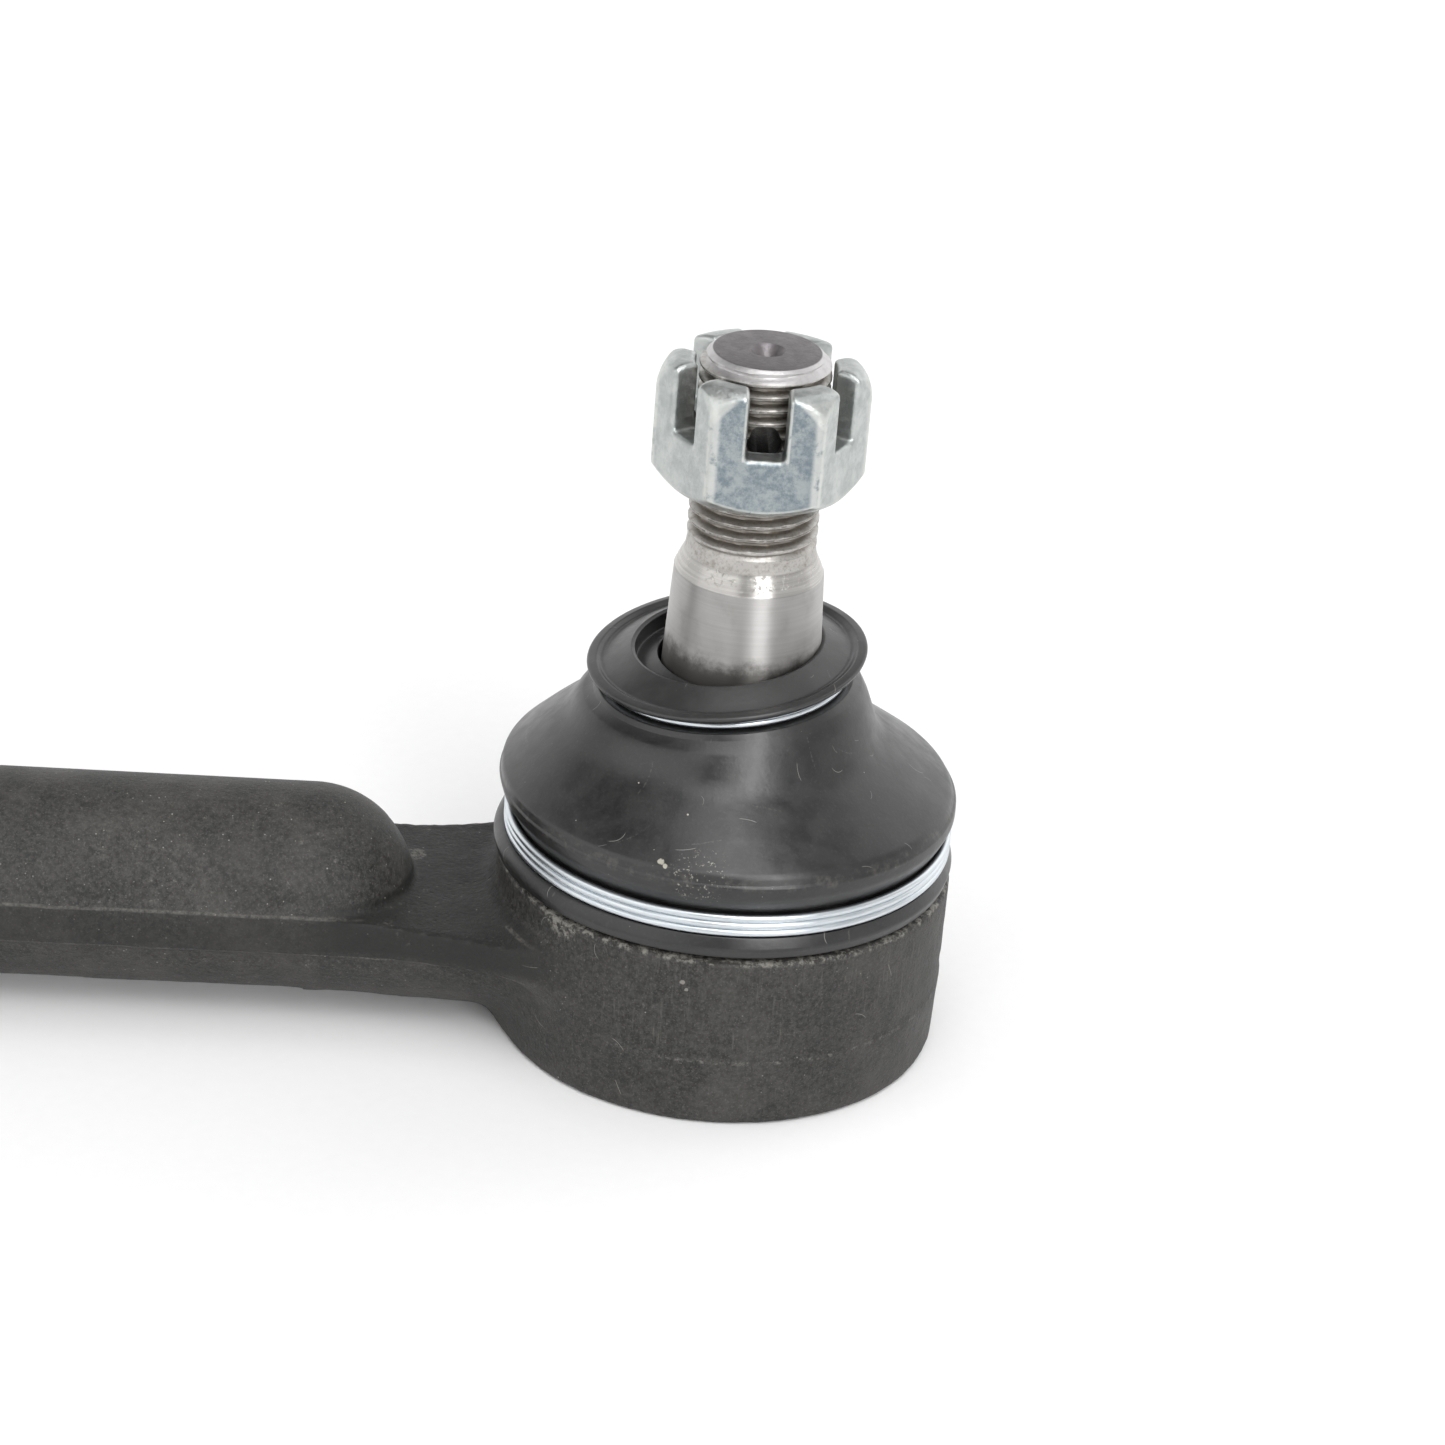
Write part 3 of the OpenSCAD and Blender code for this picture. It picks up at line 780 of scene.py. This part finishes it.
class Surface(Nodes):
    """A procedural material whose textures are laid out in millimetres on the piece itself."""

    def __init__(self, name, **sockets):
        self.material = bpy.data.materials.new(name)
        self.material.use_nodes = True
        super().__init__(self.material.node_tree)
        self.shader = self.tree.nodes["Principled BSDF"]
        self.colour = None
        for socket, value in sockets.items():
            self.shader.inputs[socket.replace("_", " ")].default_value = value
        self.place = self.vector("SCALE", self.coordinates("Object"), scale=1 / MM)
        self.x, self.y, self.z = self.split(self.place)

    def set(self, **sockets):
        for socket, value in sockets.items():
            self.put(self.shader.inputs[socket.replace("_", " ")], value)

    def over(self, tint, *masks):
        """Lays a tint over the colour so far, where all the masks are 1."""
        self.colour = self.mix(self.both(*masks), self.colour, tint)

    def stretched(self, x, y, z):
        return self.vector("MULTIPLY", self.place, (x, y, z))

    def noise(self, scale, detail=3, roughness=0.55, place=None):
        """Noise of about 0 to 1 with features 1 / scale millimetres wide."""
        return self.new("TexNoise", place or self.place, None, scale, detail, roughness).outputs[0]

    def patches(self, low, high, *noise):
        """Noise cut to a mask: 0 where it is under low and 1 where it is over high."""
        return self.ramp(self.noise(*noise), low, high)

    def cells(self, scale, place=None, dimensions="3D"):
        """Voronoi cells: distance to the cell's point, the cell's random colour, and the point's place."""
        node = self.new("TexVoronoi", place or self.place, None, scale, voronoi_dimensions=dimensions)
        return node.outputs["Distance"], node.outputs["Color"], node.outputs["Position"]

    def bump(self, height, depth, strength=1.0, normal=None):
        """Relief depth millimetres deep where height goes from 0 to 1."""
        node = self.new("Bump")
        self.put(node.inputs["Strength"], strength)
        self.put(node.inputs["Distance"], depth * MM)
        self.put(node.inputs["Height"], height)
        self.put(node.inputs["Normal"], normal)
        return node.outputs[0]

    def radial_tangent(self):
        """Direction round the Z axis, which turning and grinding marks follow."""
        return self.new("Tangent", direction_type="RADIAL", axis="Z").outputs[0]

    def specks(self, scale, share, size):
        """Small spots: in a share of the cells, a dot of about size cell widths, ragged at its edge."""
        distance, colour, _ = self.cells(scale)
        chosen = self.math("GREATER_THAN", self.split(colour)[0], 1 - share)
        ragged = self.math("ADD", distance, self.both(self.noise(scale * 3, 1), size * 0.9))
        return self.both(chosen, self.ramp(ragged, size * 1.5, size * 0.9))

    def hairs(self, unrolled, scale, share, length, width, bend=0.5):
        """Short curved lines, one in a share of the cells, each turned its own way.
        Lengths are in cell widths."""
        _, colour, middle = self.cells(scale, unrolled, "2D")
        red, green, blue = self.split(colour)
        here = self.vector("SCALE", unrolled, scale=scale)
        away = self.vector("SUBTRACT", here, self.vector("SCALE", middle, scale=scale))
        turn = self.new("VectorRotate", away, rotation_type="Z_AXIS")
        self.put(turn.inputs["Angle"], self.both(green, 2 * math.pi))
        along, across, _ = self.split(turn.outputs[0])
        bow = self.both(self.both(along, along), self.both(blue, bend / length))
        across = self.math("ABSOLUTE", self.math("ADD", across, bow))
        reach = self.ramp(self.math("ABSOLUTE", along), length, length * 0.7)
        chosen = self.math("GREATER_THAN", red, 1 - share)
        return self.both(chosen, reach, self.ramp(across, width, width * 0.4))

    def near(self, spot, radius, ragged=0.5, scale=1.0):
        """1 within a ragged patch of a radius about a spot."""
        away = self.vector("DISTANCE", self.place, spot)
        away = self.math("ADD", away, self.both(self.noise(scale, 4, 0.7), ragged * 2 * radius))
        return self.ramp(away, radius * (1 + ragged), radius * (0.7 + ragged))


def forged_steel():
    """Black coating over rough forged scale, with dust, scuffs, worn edges and rust specks, and painted shade
    in the neck's recess and on the flash band's face.
    """
    s = Surface("forged_black", Specular_IOR_Level=0.36)
    mottle = s.noise(0.16, 4, 0.6)
    grain = s.noise(2.1, 5, 0.72)
    fine = s.noise(5.5, 3, 0.7)
    around = s.math("MULTIPLY", s.math("ARCTAN2", s.y, s.x), CUP_R)
    on_wall = s.join(around, s.z, 0.0)
    in_front = s.ramp(s.x, -20, -16)
    on_barrel = s.ramp(s.x, -CUP_R - 3, -CUP_R - 8)
    s.colour = s.mix(s.ramp(grain, 0.36, 0.66), (0.014, 0.0138, 0.0132), (0.048, 0.0468, 0.0443))
    s.over((0.115, 0.11, 0.1), s.ramp(fine, 0.54, 0.72), 0.7)
    s.over((0.015, 0.0145, 0.014), s.ramp(fine, 0.44, 0.3), 0.6)
    s.over((0.11, 0.105, 0.095), s.ramp(mottle, 0.42, 0.68), 0.22)
    wall = s.both(s.ramp(s.x, -17, -12), s.ramp(s.z, 7.4, 8.5), s.ramp(s.z, 17.3, 16.6))
    streaks = s.noise(1, 4, 0.65, s.stretched(3.4, 3.4, 0.3))
    s.over((0.13, 0.122, 0.108), wall, s.ramp(streaks, 0.52, 0.74), s.patches(0.38, 0.6, 0.22, 3), 0.5)
    # Painted shade: the neck between the barrel's dome and the cup, under the land, is coloured near black as
    # the shade that falls there.
    recess = s.both(s.ramp(s.x, -40, -35), s.ramp(s.x, -13, -19),
                    s.ramp(s.z, 14.6, 13.7), s.ramp(s.z, 9.6, 10.6))
    s.over((0.012, 0.0117, 0.0112), recess, 0.75)
    cloud = s.patches(0.42, 0.62, 0.13, 3)
    dusty = s.most(s.both(cloud, 0.7), s.both(on_barrel, s.ramp(s.x, -80, -50)))
    s.over((0.3, 0.285, 0.25), s.specks(1.3, 0.4, 0.11), dusty, 0.8)
    s.over((0.2, 0.19, 0.17), s.patches(0.6, 0.72, 0.8, 5, 0.8), dusty, 0.5)
    s.over((0.26, 0.245, 0.22), s.specks(2.6, 0.3, 0.12), cloud, 0.5)
    s.over((0.36, 0.34, 0.3), s.specks(0.42, 0.3, 0.045))
    scuffed = s.most(s.near((-50.6, -8.7, 16.1), 4.5, 0.5, 0.3), s.near((-56, -6.9, 18.3), 3.5, 0.5, 0.3))
    s.over((0.34, 0.325, 0.29), scuffed, s.specks(1.9, 0.5, 0.09), 0.85)
    s.over((0.2, 0.19, 0.17), scuffed, s.patches(0.46, 0.7, 1.4, 4, 0.8), 0.22)
    # Painted shade: the flash band's face beside the barrel is coloured darker, standing in for the shade on
    # it.
    band = s.both(s.ramp(s.math("ABSOLUTE", s.y), BARREL_R + 0.05, BARREL_R + 0.25), s.ramp(s.x, -17, -21))
    band = s.both(band, s.ramp(s.z, BARREL_Z - LAND_HALF_H, BARREL_Z - LAND_HALF_H + 0.2))
    s.over((0.012, 0.0118, 0.0113), band, 0.5)
    s.over((0.42, 0.15, 0.035), s.specks(0.16, 0.34, 0.03), 0.9)
    s.over((0.33, 0.32, 0.29), s.hairs(on_wall, 0.3, 0.16, 0.26, 0.012), in_front, 0.5)
    worn = s.most(
        s.both(band_edge(s, LAND_TOP - 0.05), s.patches(0.36, 0.62, 0.9, 5, 0.8), 0.4),
        s.both(band_edge(s, BARREL_Z - LAND_HALF_H), s.patches(0.42, 0.68, 1.1, 5, 0.8), 0.6),
        s.both(s.band(s.z, PARTING_Z, 0.26), s.ramp(s.x, -13, -9),
               s.patches(0.48, 0.66, 0.9, 5, 0.85), 0.6),
        s.both(s.band(s.z, CUP_SHOULDER_Z - 0.1, 0.55), s.ramp(s.x, -CUP_R - 1.5, -CUP_R),
               s.patches(0.46, 0.62, 1.3, 4, 0.7)),
        s.both(s.near((-15.6, -14.7, 17.7), 2.4, 0.6, 0.7), s.patches(0.42, 0.56, 1.6, 4, 0.75)),
        s.both(s.near((-29.3, 4.4, 13.2), 1.3, 0.5), s.patches(0.4, 0.6, 2.5, 4, 0.75), 0.6),
        s.near((-4.4, -21, 14.9), 0.28, 0.4, 3),
        s.near((-4.0, -21.1, 14.2), 0.22, 0.4, 3),
    )
    s.over((0.24, 0.23, 0.205), worn, 0.8)
    s.set(Base_Color=s.colour, Roughness=s.ramp(grain, 0.3, 0.75, 0.48, 0.66))
    pits = s.math("SUBTRACT", 1.0, s.ramp(s.cells(1.1)[0], 0.05, 0.3))
    height = s.math("ADD", s.noise(1.2, 5, 0.62), s.both(grain, 0.6))
    height = s.math("SUBTRACT", height, s.both(pits, s.ramp(mottle, 0.5, 0.62), 0.5))
    s.set(Normal=s.bump(height, 0.13))
    return s.material


def band_edge(s, level):
    """The two long edges of the flash band at one height, outside the barrel and along the neck."""
    at_side = s.ramp(s.math("ABSOLUTE", s.y), BARREL_R - 0.6, BARREL_R - 0.2)
    return s.both(s.band(s.z, level, 0.17), s.ramp(s.x, -17, -20), at_side)


def machined_steel():
    """Bored and faced steel under a film of oil, with fine tool marks."""
    s = Surface("machined_bore", Metallic=1.0)
    marks = s.noise(1, 2, 0.5, s.stretched(9, 0.4, 9))
    s.colour = s.mix(marks, (0.16, 0.155, 0.15), (0.34, 0.33, 0.32))
    s.set(Base_Color=s.colour, Roughness=s.ramp(marks, 0.3, 0.7, 0.28, 0.45), Normal=s.bump(marks, 0.01))
    return s.material


def ground_taper():
    """Ground taper: fine rings that spread each reflection upright, faint clouds, grease near the boot."""
    s = Surface("ground_taper", Metallic=1.0, Anisotropic=0.93, Anisotropic_Rotation=0.25)
    s.set(Tangent=s.radial_tangent())
    rings = s.noise(1, 3, 0.65, s.stretched(0.05, 0.05, 5))
    cloud = s.noise(0.45, 4, 0.6)
    s.colour = s.mix(s.ramp(rings, 0.3, 0.7), (0.455, 0.445, 0.435), (0.5, 0.49, 0.48))
    s.over((0.34, 0.325, 0.305), s.ramp(cloud, 0.5, 0.75), 0.3)
    grease = s.ramp(s.math("ADD", s.z, s.both(s.noise(0.5, 5, 0.7), 3.6)), 42.8, 40.8)
    s.over((0.06, 0.055, 0.048), grease, 0.8)
    s.set(Base_Color=s.colour, Roughness=s.ramp(cloud, 0.3, 0.7, 0.42, 0.5), Normal=s.bump(rings, 0.001))
    return s.material


def turned_shoulder():
    """Bright turned cone above the taper, with a few torn specks."""
    s = Surface("turned_shoulder", Metallic=1.0, Anisotropic=0.7, Anisotropic_Rotation=0.25)
    s.set(Tangent=s.radial_tangent())
    rings = s.noise(1, 3, 0.7, s.stretched(0.1, 0.1, 6))
    torn = s.both(s.patches(0.55, 0.64, 2.4, 4, 0.8), s.ramp(s.z, 47.1, 47.9))
    s.colour = s.mix(s.ramp(rings, 0.3, 0.7), (0.44, 0.425, 0.41), (0.58, 0.565, 0.54))
    s.over((0.25, 0.235, 0.22), s.ramp(s.z, 48.3, 49.2), 0.55)
    s.over((0.78, 0.76, 0.7), torn, 0.7)
    s.set(Base_Color=s.colour, Roughness=s.ramp(torn, 0, 1, 0.32, 0.42))
    height = s.math("ADD", s.both(torn, 1.0), s.both(rings, 0.15))
    s.set(Normal=s.bump(height, 0.04))
    return s.material


def thread_steel():
    """Rolled thread: bright crests with a fine seam, roots coloured darker as painted shade, brownish grime,
    painted shade inside the cotter hole, and a darker faced end.
    """
    s = Surface("thread_steel", Metallic=1.0)
    radius = s.vector("LENGTH", s.join(s.x, s.y, 0.0))
    # Painted shade: the roots are coloured darker than the crests by radius alone, standing in for the shade
    # in the grooves; the lead chamfer is kept light.
    crest = s.most(s.ramp(radius, THREAD_ROOT + 0.15, THREAD_R - 0.15),
                   s.ramp(s.z, STUD_TOP - 1.7, STUD_TOP - 1.2))
    turn = s.math("DIVIDE", s.math("ARCTAN2", s.y, s.x), 2 * math.pi)
    phase = s.math("FRACT", s.math("SUBTRACT", s.math("ADD", s.math("DIVIDE", s.z, THREAD_PITCH), 0.5), turn))
    seam = s.both(s.band(phase, 0.5, 0.09), s.patches(0.35, 0.5, 1.5, 3),
                  s.ramp(s.z, STUD_TOP - 1, STUD_TOP - 1.4),
                  s.ramp(s.z, THREAD_START + 0.9, THREAD_START + 1.3))
    cloud = s.noise(1.0, 4, 0.65)
    grime = s.noise(3.5, 4, 0.75)
    # Crest colour over the darker root colour, which is painted shade.
    s.colour = s.mix(crest, (0.27, 0.25, 0.225), (0.5, 0.485, 0.465))
    s.over((0.17, 0.13, 0.09), s.ramp(cloud, 0.5, 0.7), 0.4)
    s.over((0.14, 0.12, 0.1), s.ramp(grime, 0.5, 0.68), 0.4)
    s.over((0.1, 0.085, 0.07), seam, 0.7)
    s.over((0.6, 0.59, 0.6), s.ramp(s.z, STUD_TOP - 1.2, STUD_TOP - 0.9), 0.7)
    # Painted shade: the walls of the cotter hole below the thread root are coloured near black, as the shade
    # inside the hole.
    hole = s.both(s.ramp(radius, THREAD_ROOT - 0.1, THREAD_ROOT - 0.6),
                  s.ramp(s.z, STUD_TOP - 2.1, STUD_TOP - 2.5))
    s.over((0.012, 0.01, 0.009), hole, 0.92)
    face = s.both(s.ramp(radius, END_R + 0.08, END_R - 0.04), s.ramp(s.z, STUD_TOP - 2.4, STUD_TOP - 2))
    spots = s.patches(0.56, 0.7, 1.4, 4, 0.7)
    faced = s.mix(s.both(spots, 0.5), (0.2, 0.187, 0.194), (0.14, 0.13, 0.128))
    s.set(Base_Color=s.mix(face, s.colour, faced), Roughness=s.ramp(cloud, 0.3, 0.7, 0.36, 0.5))
    turned = s.noise(1, 2, 0.5, s.join(s.both(radius, 6.0), 0.0, s.z))
    height = s.math("ADD", s.both(s.noise(3, 4, 0.7), 1.0), s.both(turned, face, 0.5))
    s.set(Normal=s.bump(height, 0.04))
    return s.material


def zinc_plate():
    """Pale blue zinc over slightly rough faces: cloudy patches, front and back flats darker with mottling,
    their darkness painted shade, painted highlights along the chamfer and slot edges, bright rubbed corners.
    """
    s = Surface("zinc_nut_plate", Metallic=1.0)
    cloud = s.noise(0.5, 5, 0.7)
    spots = s.noise(2.2, 4, 0.7)
    s.colour = s.mix(s.ramp(cloud, 0.35, 0.65), (0.43, 0.458, 0.452), (0.56, 0.58, 0.565))
    s.over((0.34, 0.38, 0.385), s.ramp(spots, 0.55, 0.75), 0.35)
    # Painted shade: the front flat, and the back flat more weakly, take a darker colour standing in for their
    # dim reflections; the mottling on them is the plating's own.
    shaded_mottled_flats = s.most(s.ramp(s.y, -NUT_FLAT + 0.22, -NUT_FLAT + 0.06),
                  s.both(s.ramp(s.y, NUT_FLAT - 0.22, NUT_FLAT - 0.06), 0.6))
    mottled_and_shaded = s.mix(s.patches(0.34, 0.66, 1.6, 5, 0.8), (0.2, 0.245, 0.275), (0.35, 0.39, 0.405))
    mottled_and_shaded = s.mix(s.both(s.ramp(cloud, 0.48, 0.62), 0.7), mottled_and_shaded, (0.42, 0.45, 0.455))
    mottled_and_shaded = s.mix(s.both(s.ramp(s.x, 3.4, 4.6), 0.4), mottled_and_shaded, (0.2, 0.24, 0.27))
    radius = s.vector("LENGTH", s.join(s.x, s.y, 0.0))
    # Painted highlight: the edges where the chamfers and the slots meet the flats are coloured bright,
    # standing in for the light they catch.
    top_rim = s.math("ADD", s.both(s.math("SUBTRACT", radius, NUT_FLAT + 0.35), 0.933),
                     s.both(s.math("SUBTRACT", s.z, NUT_TOP), 0.359))
    low_rim = s.math("SUBTRACT", s.both(s.math("SUBTRACT", radius, NUT_FLAT - 0.6), 0.579),
                     s.both(s.math("SUBTRACT", s.z, NUT_LOW), 0.815))
    slot_rim = s.both(s.band(s.math("ABSOLUTE", s.x), SLOT_HALF + 0.2, 0.22),
                      s.ramp(s.z, NUT_TOP - 6.6, NUT_TOP - 6.2))
    rim_highlights = s.most(s.ramp(top_rim, -0.3, -0.12), s.ramp(low_rim, -0.3, -0.12), slot_rim)
    rim_highlights = s.both(rim_highlights, s.patches(0.3, 0.45, 1.5, 3, 0.7))
    s.over(mottled_and_shaded, shaded_mottled_flats, s.math("SUBTRACT", 1.0, rim_highlights))
    s.over((0.66, 0.675, 0.65), rim_highlights, 0.5)
    corner = s.both(s.ramp(radius, 9.4, 9.62), s.patches(0.3, 0.5, 1.2, 3))
    s.over((0.7, 0.71, 0.68), corner, 0.7)
    s.set(Base_Color=s.colour, Roughness=s.ramp(spots, 0.3, 0.7, 0.32, 0.48))
    height = s.math("ADD", s.noise(1.1, 4, 0.6), s.both(spots, 0.5))
    s.set(Normal=s.bump(height, 0.05))
    return s.material


def zinc_wire():
    """Bright drawn and plated wire with faint streaks along it."""
    s = Surface("zinc_wire_bright", Metallic=1.0)
    streaks = s.noise(1, 3, 0.6, s.stretched(0.35, 0.35, 7))
    s.set(Base_Color=s.mix(s.ramp(streaks, 0.35, 0.7), (0.62, 0.67, 0.71), (0.72, 0.755, 0.775)))
    s.set(Roughness=s.ramp(streaks, 0.3, 0.7, 0.28, 0.34), Normal=s.bump(streaks, 0.0015))
    return s.material


def boot_rubber():
    """Black moulded rubber with a satin surface, dust in its crease, specks, scratches and lint."""
    s = Surface("boot_rubber_black", Specular_IOR_Level=0.7)
    unrolled = s.coordinates("UV")
    film = s.noise(0.25, 4, 0.6)
    fine = s.noise(3.5, 3, 0.6)
    s.colour = s.mix(s.ramp(film, 0.35, 0.7), (0.0062, 0.0062, 0.0064), (0.0135, 0.0132, 0.0128))
    s.over((0.042, 0.041, 0.039), s.ramp(fine, 0.5, 0.75), 0.3)
    s.over((0.033, 0.0325, 0.032), s.ramp(s.z, 34.5, 37.5), 0.6)
    crease = s.both(s.band(s.z, CREASE_Z + 0.1, 0.8), s.patches(0.46, 0.7, 0.8, 4, 0.7))
    s.over((0.11, 0.105, 0.095), crease, 0.4)
    s.over((0.34, 0.33, 0.29), s.specks(1.3, 0.25, 0.07), s.ramp(film, 0.46, 0.6))
    s.over((0.4, 0.38, 0.34), s.specks(0.45, 0.22, 0.05))
    clod = s.most(s.near((-7.1, -19.6, 26.5), 0.35, 0.5, 2.2), s.near((-6.7, -19.9, 26.2), 0.25, 0.5, 3))
    trail = s.both(s.near((-3.5, -21, 25.7), 3.2, 0.3, 0.5), s.patches(0.6, 0.68, 3.4, 3, 0.7), 0.6)
    s.over((0.42, 0.4, 0.34), s.most(s.both(clod, 0.85), trail))
    lint = s.most(s.both(s.hairs(unrolled, 0.17, 0.2, 0.16, 0.006), 0.5),
                  s.both(s.hairs(unrolled, 0.42, 0.05, 0.22, 0.012), 0.35))
    s.over((0.4, 0.39, 0.36), lint)
    scuff = s.both(s.hairs(unrolled, 0.16, 0.3, 0.3, 0.016, 0.15), s.ramp(fine, 0.42, 0.6))
    s.over((0.12, 0.118, 0.11), scuff, 0.3)
    s.set(Base_Color=s.colour, Roughness=s.ramp(s.noise(0.5, 4, 0.6), 0.3, 0.7, 0.3, 0.4))
    height = s.math("ADD", s.noise(0.6, 3), s.both(fine, 0.2))
    s.set(Normal=s.bump(height, 0.03))
    return s.material


def dress_hidden_parts():
    """Materials for the CAD nodes that stay: seats, spring, cover plate and its seal."""
    seat = Surface("seat_acetal", Roughness=0.35, Subsurface_Weight=0.1)
    wax = seat.noise(0.4, 3)
    seat.set(Base_Color=seat.mix(wax, (0.66, 0.62, 0.5), (0.78, 0.75, 0.64)))
    seat.set(Normal=seat.bump(seat.noise(2.5, 3), 0.01))
    spring = Surface("spring_wire", Metallic=1.0)
    drawn = spring.noise(3, 3)
    spring.set(Base_Color=spring.mix(drawn, (0.1, 0.1, 0.11), (0.24, 0.24, 0.25)))
    spring.set(Roughness=spring.ramp(drawn, 0.3, 0.7, 0.3, 0.5), Normal=spring.bump(drawn, 0.01))
    cover = Surface("cover_phosphate", Metallic=0.6)
    crystal = cover.noise(4, 4, 0.7)
    cloud = cover.noise(0.3, 3)
    cover.colour = cover.mix(cover.ramp(crystal, 0.35, 0.7), (0.06, 0.06, 0.058), (0.17, 0.168, 0.16))
    cover.over((0.2, 0.16, 0.12), cover.ramp(cloud, 0.5, 0.7), 0.4)
    cover.set(Base_Color=cover.colour, Roughness=cover.ramp(crystal, 0.3, 0.7, 0.4, 0.62))
    cover.set(Normal=cover.bump(crystal, 0.02))
    seal = Surface("seal_rubber_black")
    bloom = seal.noise(1.5, 3)
    seal.set(Base_Color=seal.mix(bloom, (0.01, 0.01, 0.01), (0.025, 0.025, 0.025)))
    seal.set(Roughness=seal.ramp(bloom, 0.3, 0.7, 0.4, 0.6), Normal=seal.bump(bloom, 0.01))
    for node, surface in (("upper_ball_seat", seat), ("lower_ball_seat", seat), ("preload_spring", spring),
                          ("cover_plate", cover), ("cover_seal", seal)):
        mesh = frame["nodes"][node].data
        mesh.materials.clear()
        mesh.materials.append(surface.material)


def floor_white():
    """Matt white paper with a faint grain."""
    s = Surface("paper_white", Roughness=0.9, Specular_IOR_Level=0.2)
    grain = s.noise(0.8, 3)
    s.set(Base_Color=s.mix(grain, (0.9, 0.9, 0.9), (0.93, 0.93, 0.93)), Normal=s.bump(grain, 0.02))
    return s.material


# ---------------------------------------------------------------- floor, light and camera

def build_floor():
    half, below = 3000, -0.02
    corners = [(-half, -half, below), (half, -half, below), (half, half, below), (-half, half, below)]
    floor = make_object("floor", corners, [(0, 1, 2, 3)], 0)
    floor.data.materials.append(floor_white())


# Soft panels round the part: azimuth from and to, elevation from and to (degrees), brightness
PANELS = (
    (10, 34, 12, 72, 5.6),
    (2, 38, 44, 76, 4.8),
    (-36, -15, 44, 70, 2.2),
    (-16, 3, 46, 72, 2.2),
    (-88, -17, 5, 46, 1.35),
    (-116, -86, 0, 38, 0.8),
    (42, 108, 0, 60, 0.6),
    (106, 150, 0, 62, 1.35),
    (-180, 180, 74, 100, 2.2),
)
# The panel behind the part: how far from straight ahead it starts (degrees), and its brightness
BACK_PANEL = (118, 1.1)
GAP_LEVEL = 0.16
LIGHT_GAIN = 1.07


def build_world():
    """A white studio: a bright strip front right, a broad panel left, a dim photographer's side,
    and a white horizon where the floor ends."""
    world = bpy.data.worlds.new("studio")
    bpy.context.scene.world = world
    world.use_nodes = True
    w = Nodes(world.node_tree)
    x, y, z = w.split(w.coordinates("Generated"))
    azimuth = w.math("DEGREES", w.math("ARCTAN2", x, w.math("MULTIPLY", y, -1.0)))
    elevation = w.math("DEGREES", w.math("ARCSINE", z))
    start, level = BACK_PANEL
    behind = w.ramp(w.math("ABSOLUTE", azimuth), start - 5, start + 5)
    glow = w.most(w.both(behind, w.ramp(elevation, 42, 28), level), w.ramp(elevation, 5, 2.5), GAP_LEVEL)
    for left, right, low, high, level in PANELS:
        sides = 1.0
        if left > -180:
            sides = w.both(w.ramp(azimuth, left - 3, left + 3), w.ramp(azimuth, right + 3, right - 3))
        ends = w.both(w.ramp(elevation, low - 4, low + 4), w.ramp(elevation, high + 4, high - 4))
        glow = w.most(glow, w.both(ends, sides, level))
    background = world.node_tree.nodes["Background"]
    background.inputs["Color"].default_value = (1, 1, 1, 1)
    w.put(background.inputs["Strength"], w.both(glow, LIGHT_GAIN))
    bpy.context.scene.view_settings.view_transform = "Standard"


# The camera solved from the photograph: turn, rise and roll (degrees), distance and aim (mm), lens
CAMERA_ANGLES = (-4.106, 26.597, 4.829)
CAMERA_DISTANCE = 405.63
CAMERA_AIM = Vector((-0.344, 12.40, 24.65))
CAMERA_LENS, CAMERA_SENSOR = 104.64, 36


def build_camera():
    """The photograph's view: a long lens from the front and above, rolled a little."""
    turn, rise, roll = (math.radians(v) for v in CAMERA_ANGLES)
    side = Vector((math.cos(turn), math.sin(turn), 0))
    back = Vector((math.sin(turn) * math.cos(rise), -math.cos(turn) * math.cos(rise), math.sin(rise)))
    over = back.cross(side)
    right = side * math.cos(roll) + over * math.sin(roll)
    up = over * math.cos(roll) - side * math.sin(roll)
    data = bpy.data.cameras.new("camera")
    data.lens, data.sensor_width = CAMERA_LENS, CAMERA_SENSOR
    data.clip_start, data.clip_end = 0.01, 20
    camera = bpy.data.objects.new("camera", data)
    place = Matrix.Translation((CAMERA_AIM + back * CAMERA_DISTANCE) * MM)
    camera.matrix_world = place @ Matrix((right, up, back)).transposed().to_4x4()
    bpy.context.scene.collection.objects.link(camera)
    bpy.context.scene.camera = camera


def main():
    build_camera()
    build_world()
    build_housing(forged_steel(), machined_steel())
    build_stud(ground_taper(), turned_shoulder(), thread_steel())
    build_nut(zinc_plate())
    build_boot(boot_rubber())
    build_rings(zinc_wire())
    dress_hidden_parts()
    build_floor()


main()
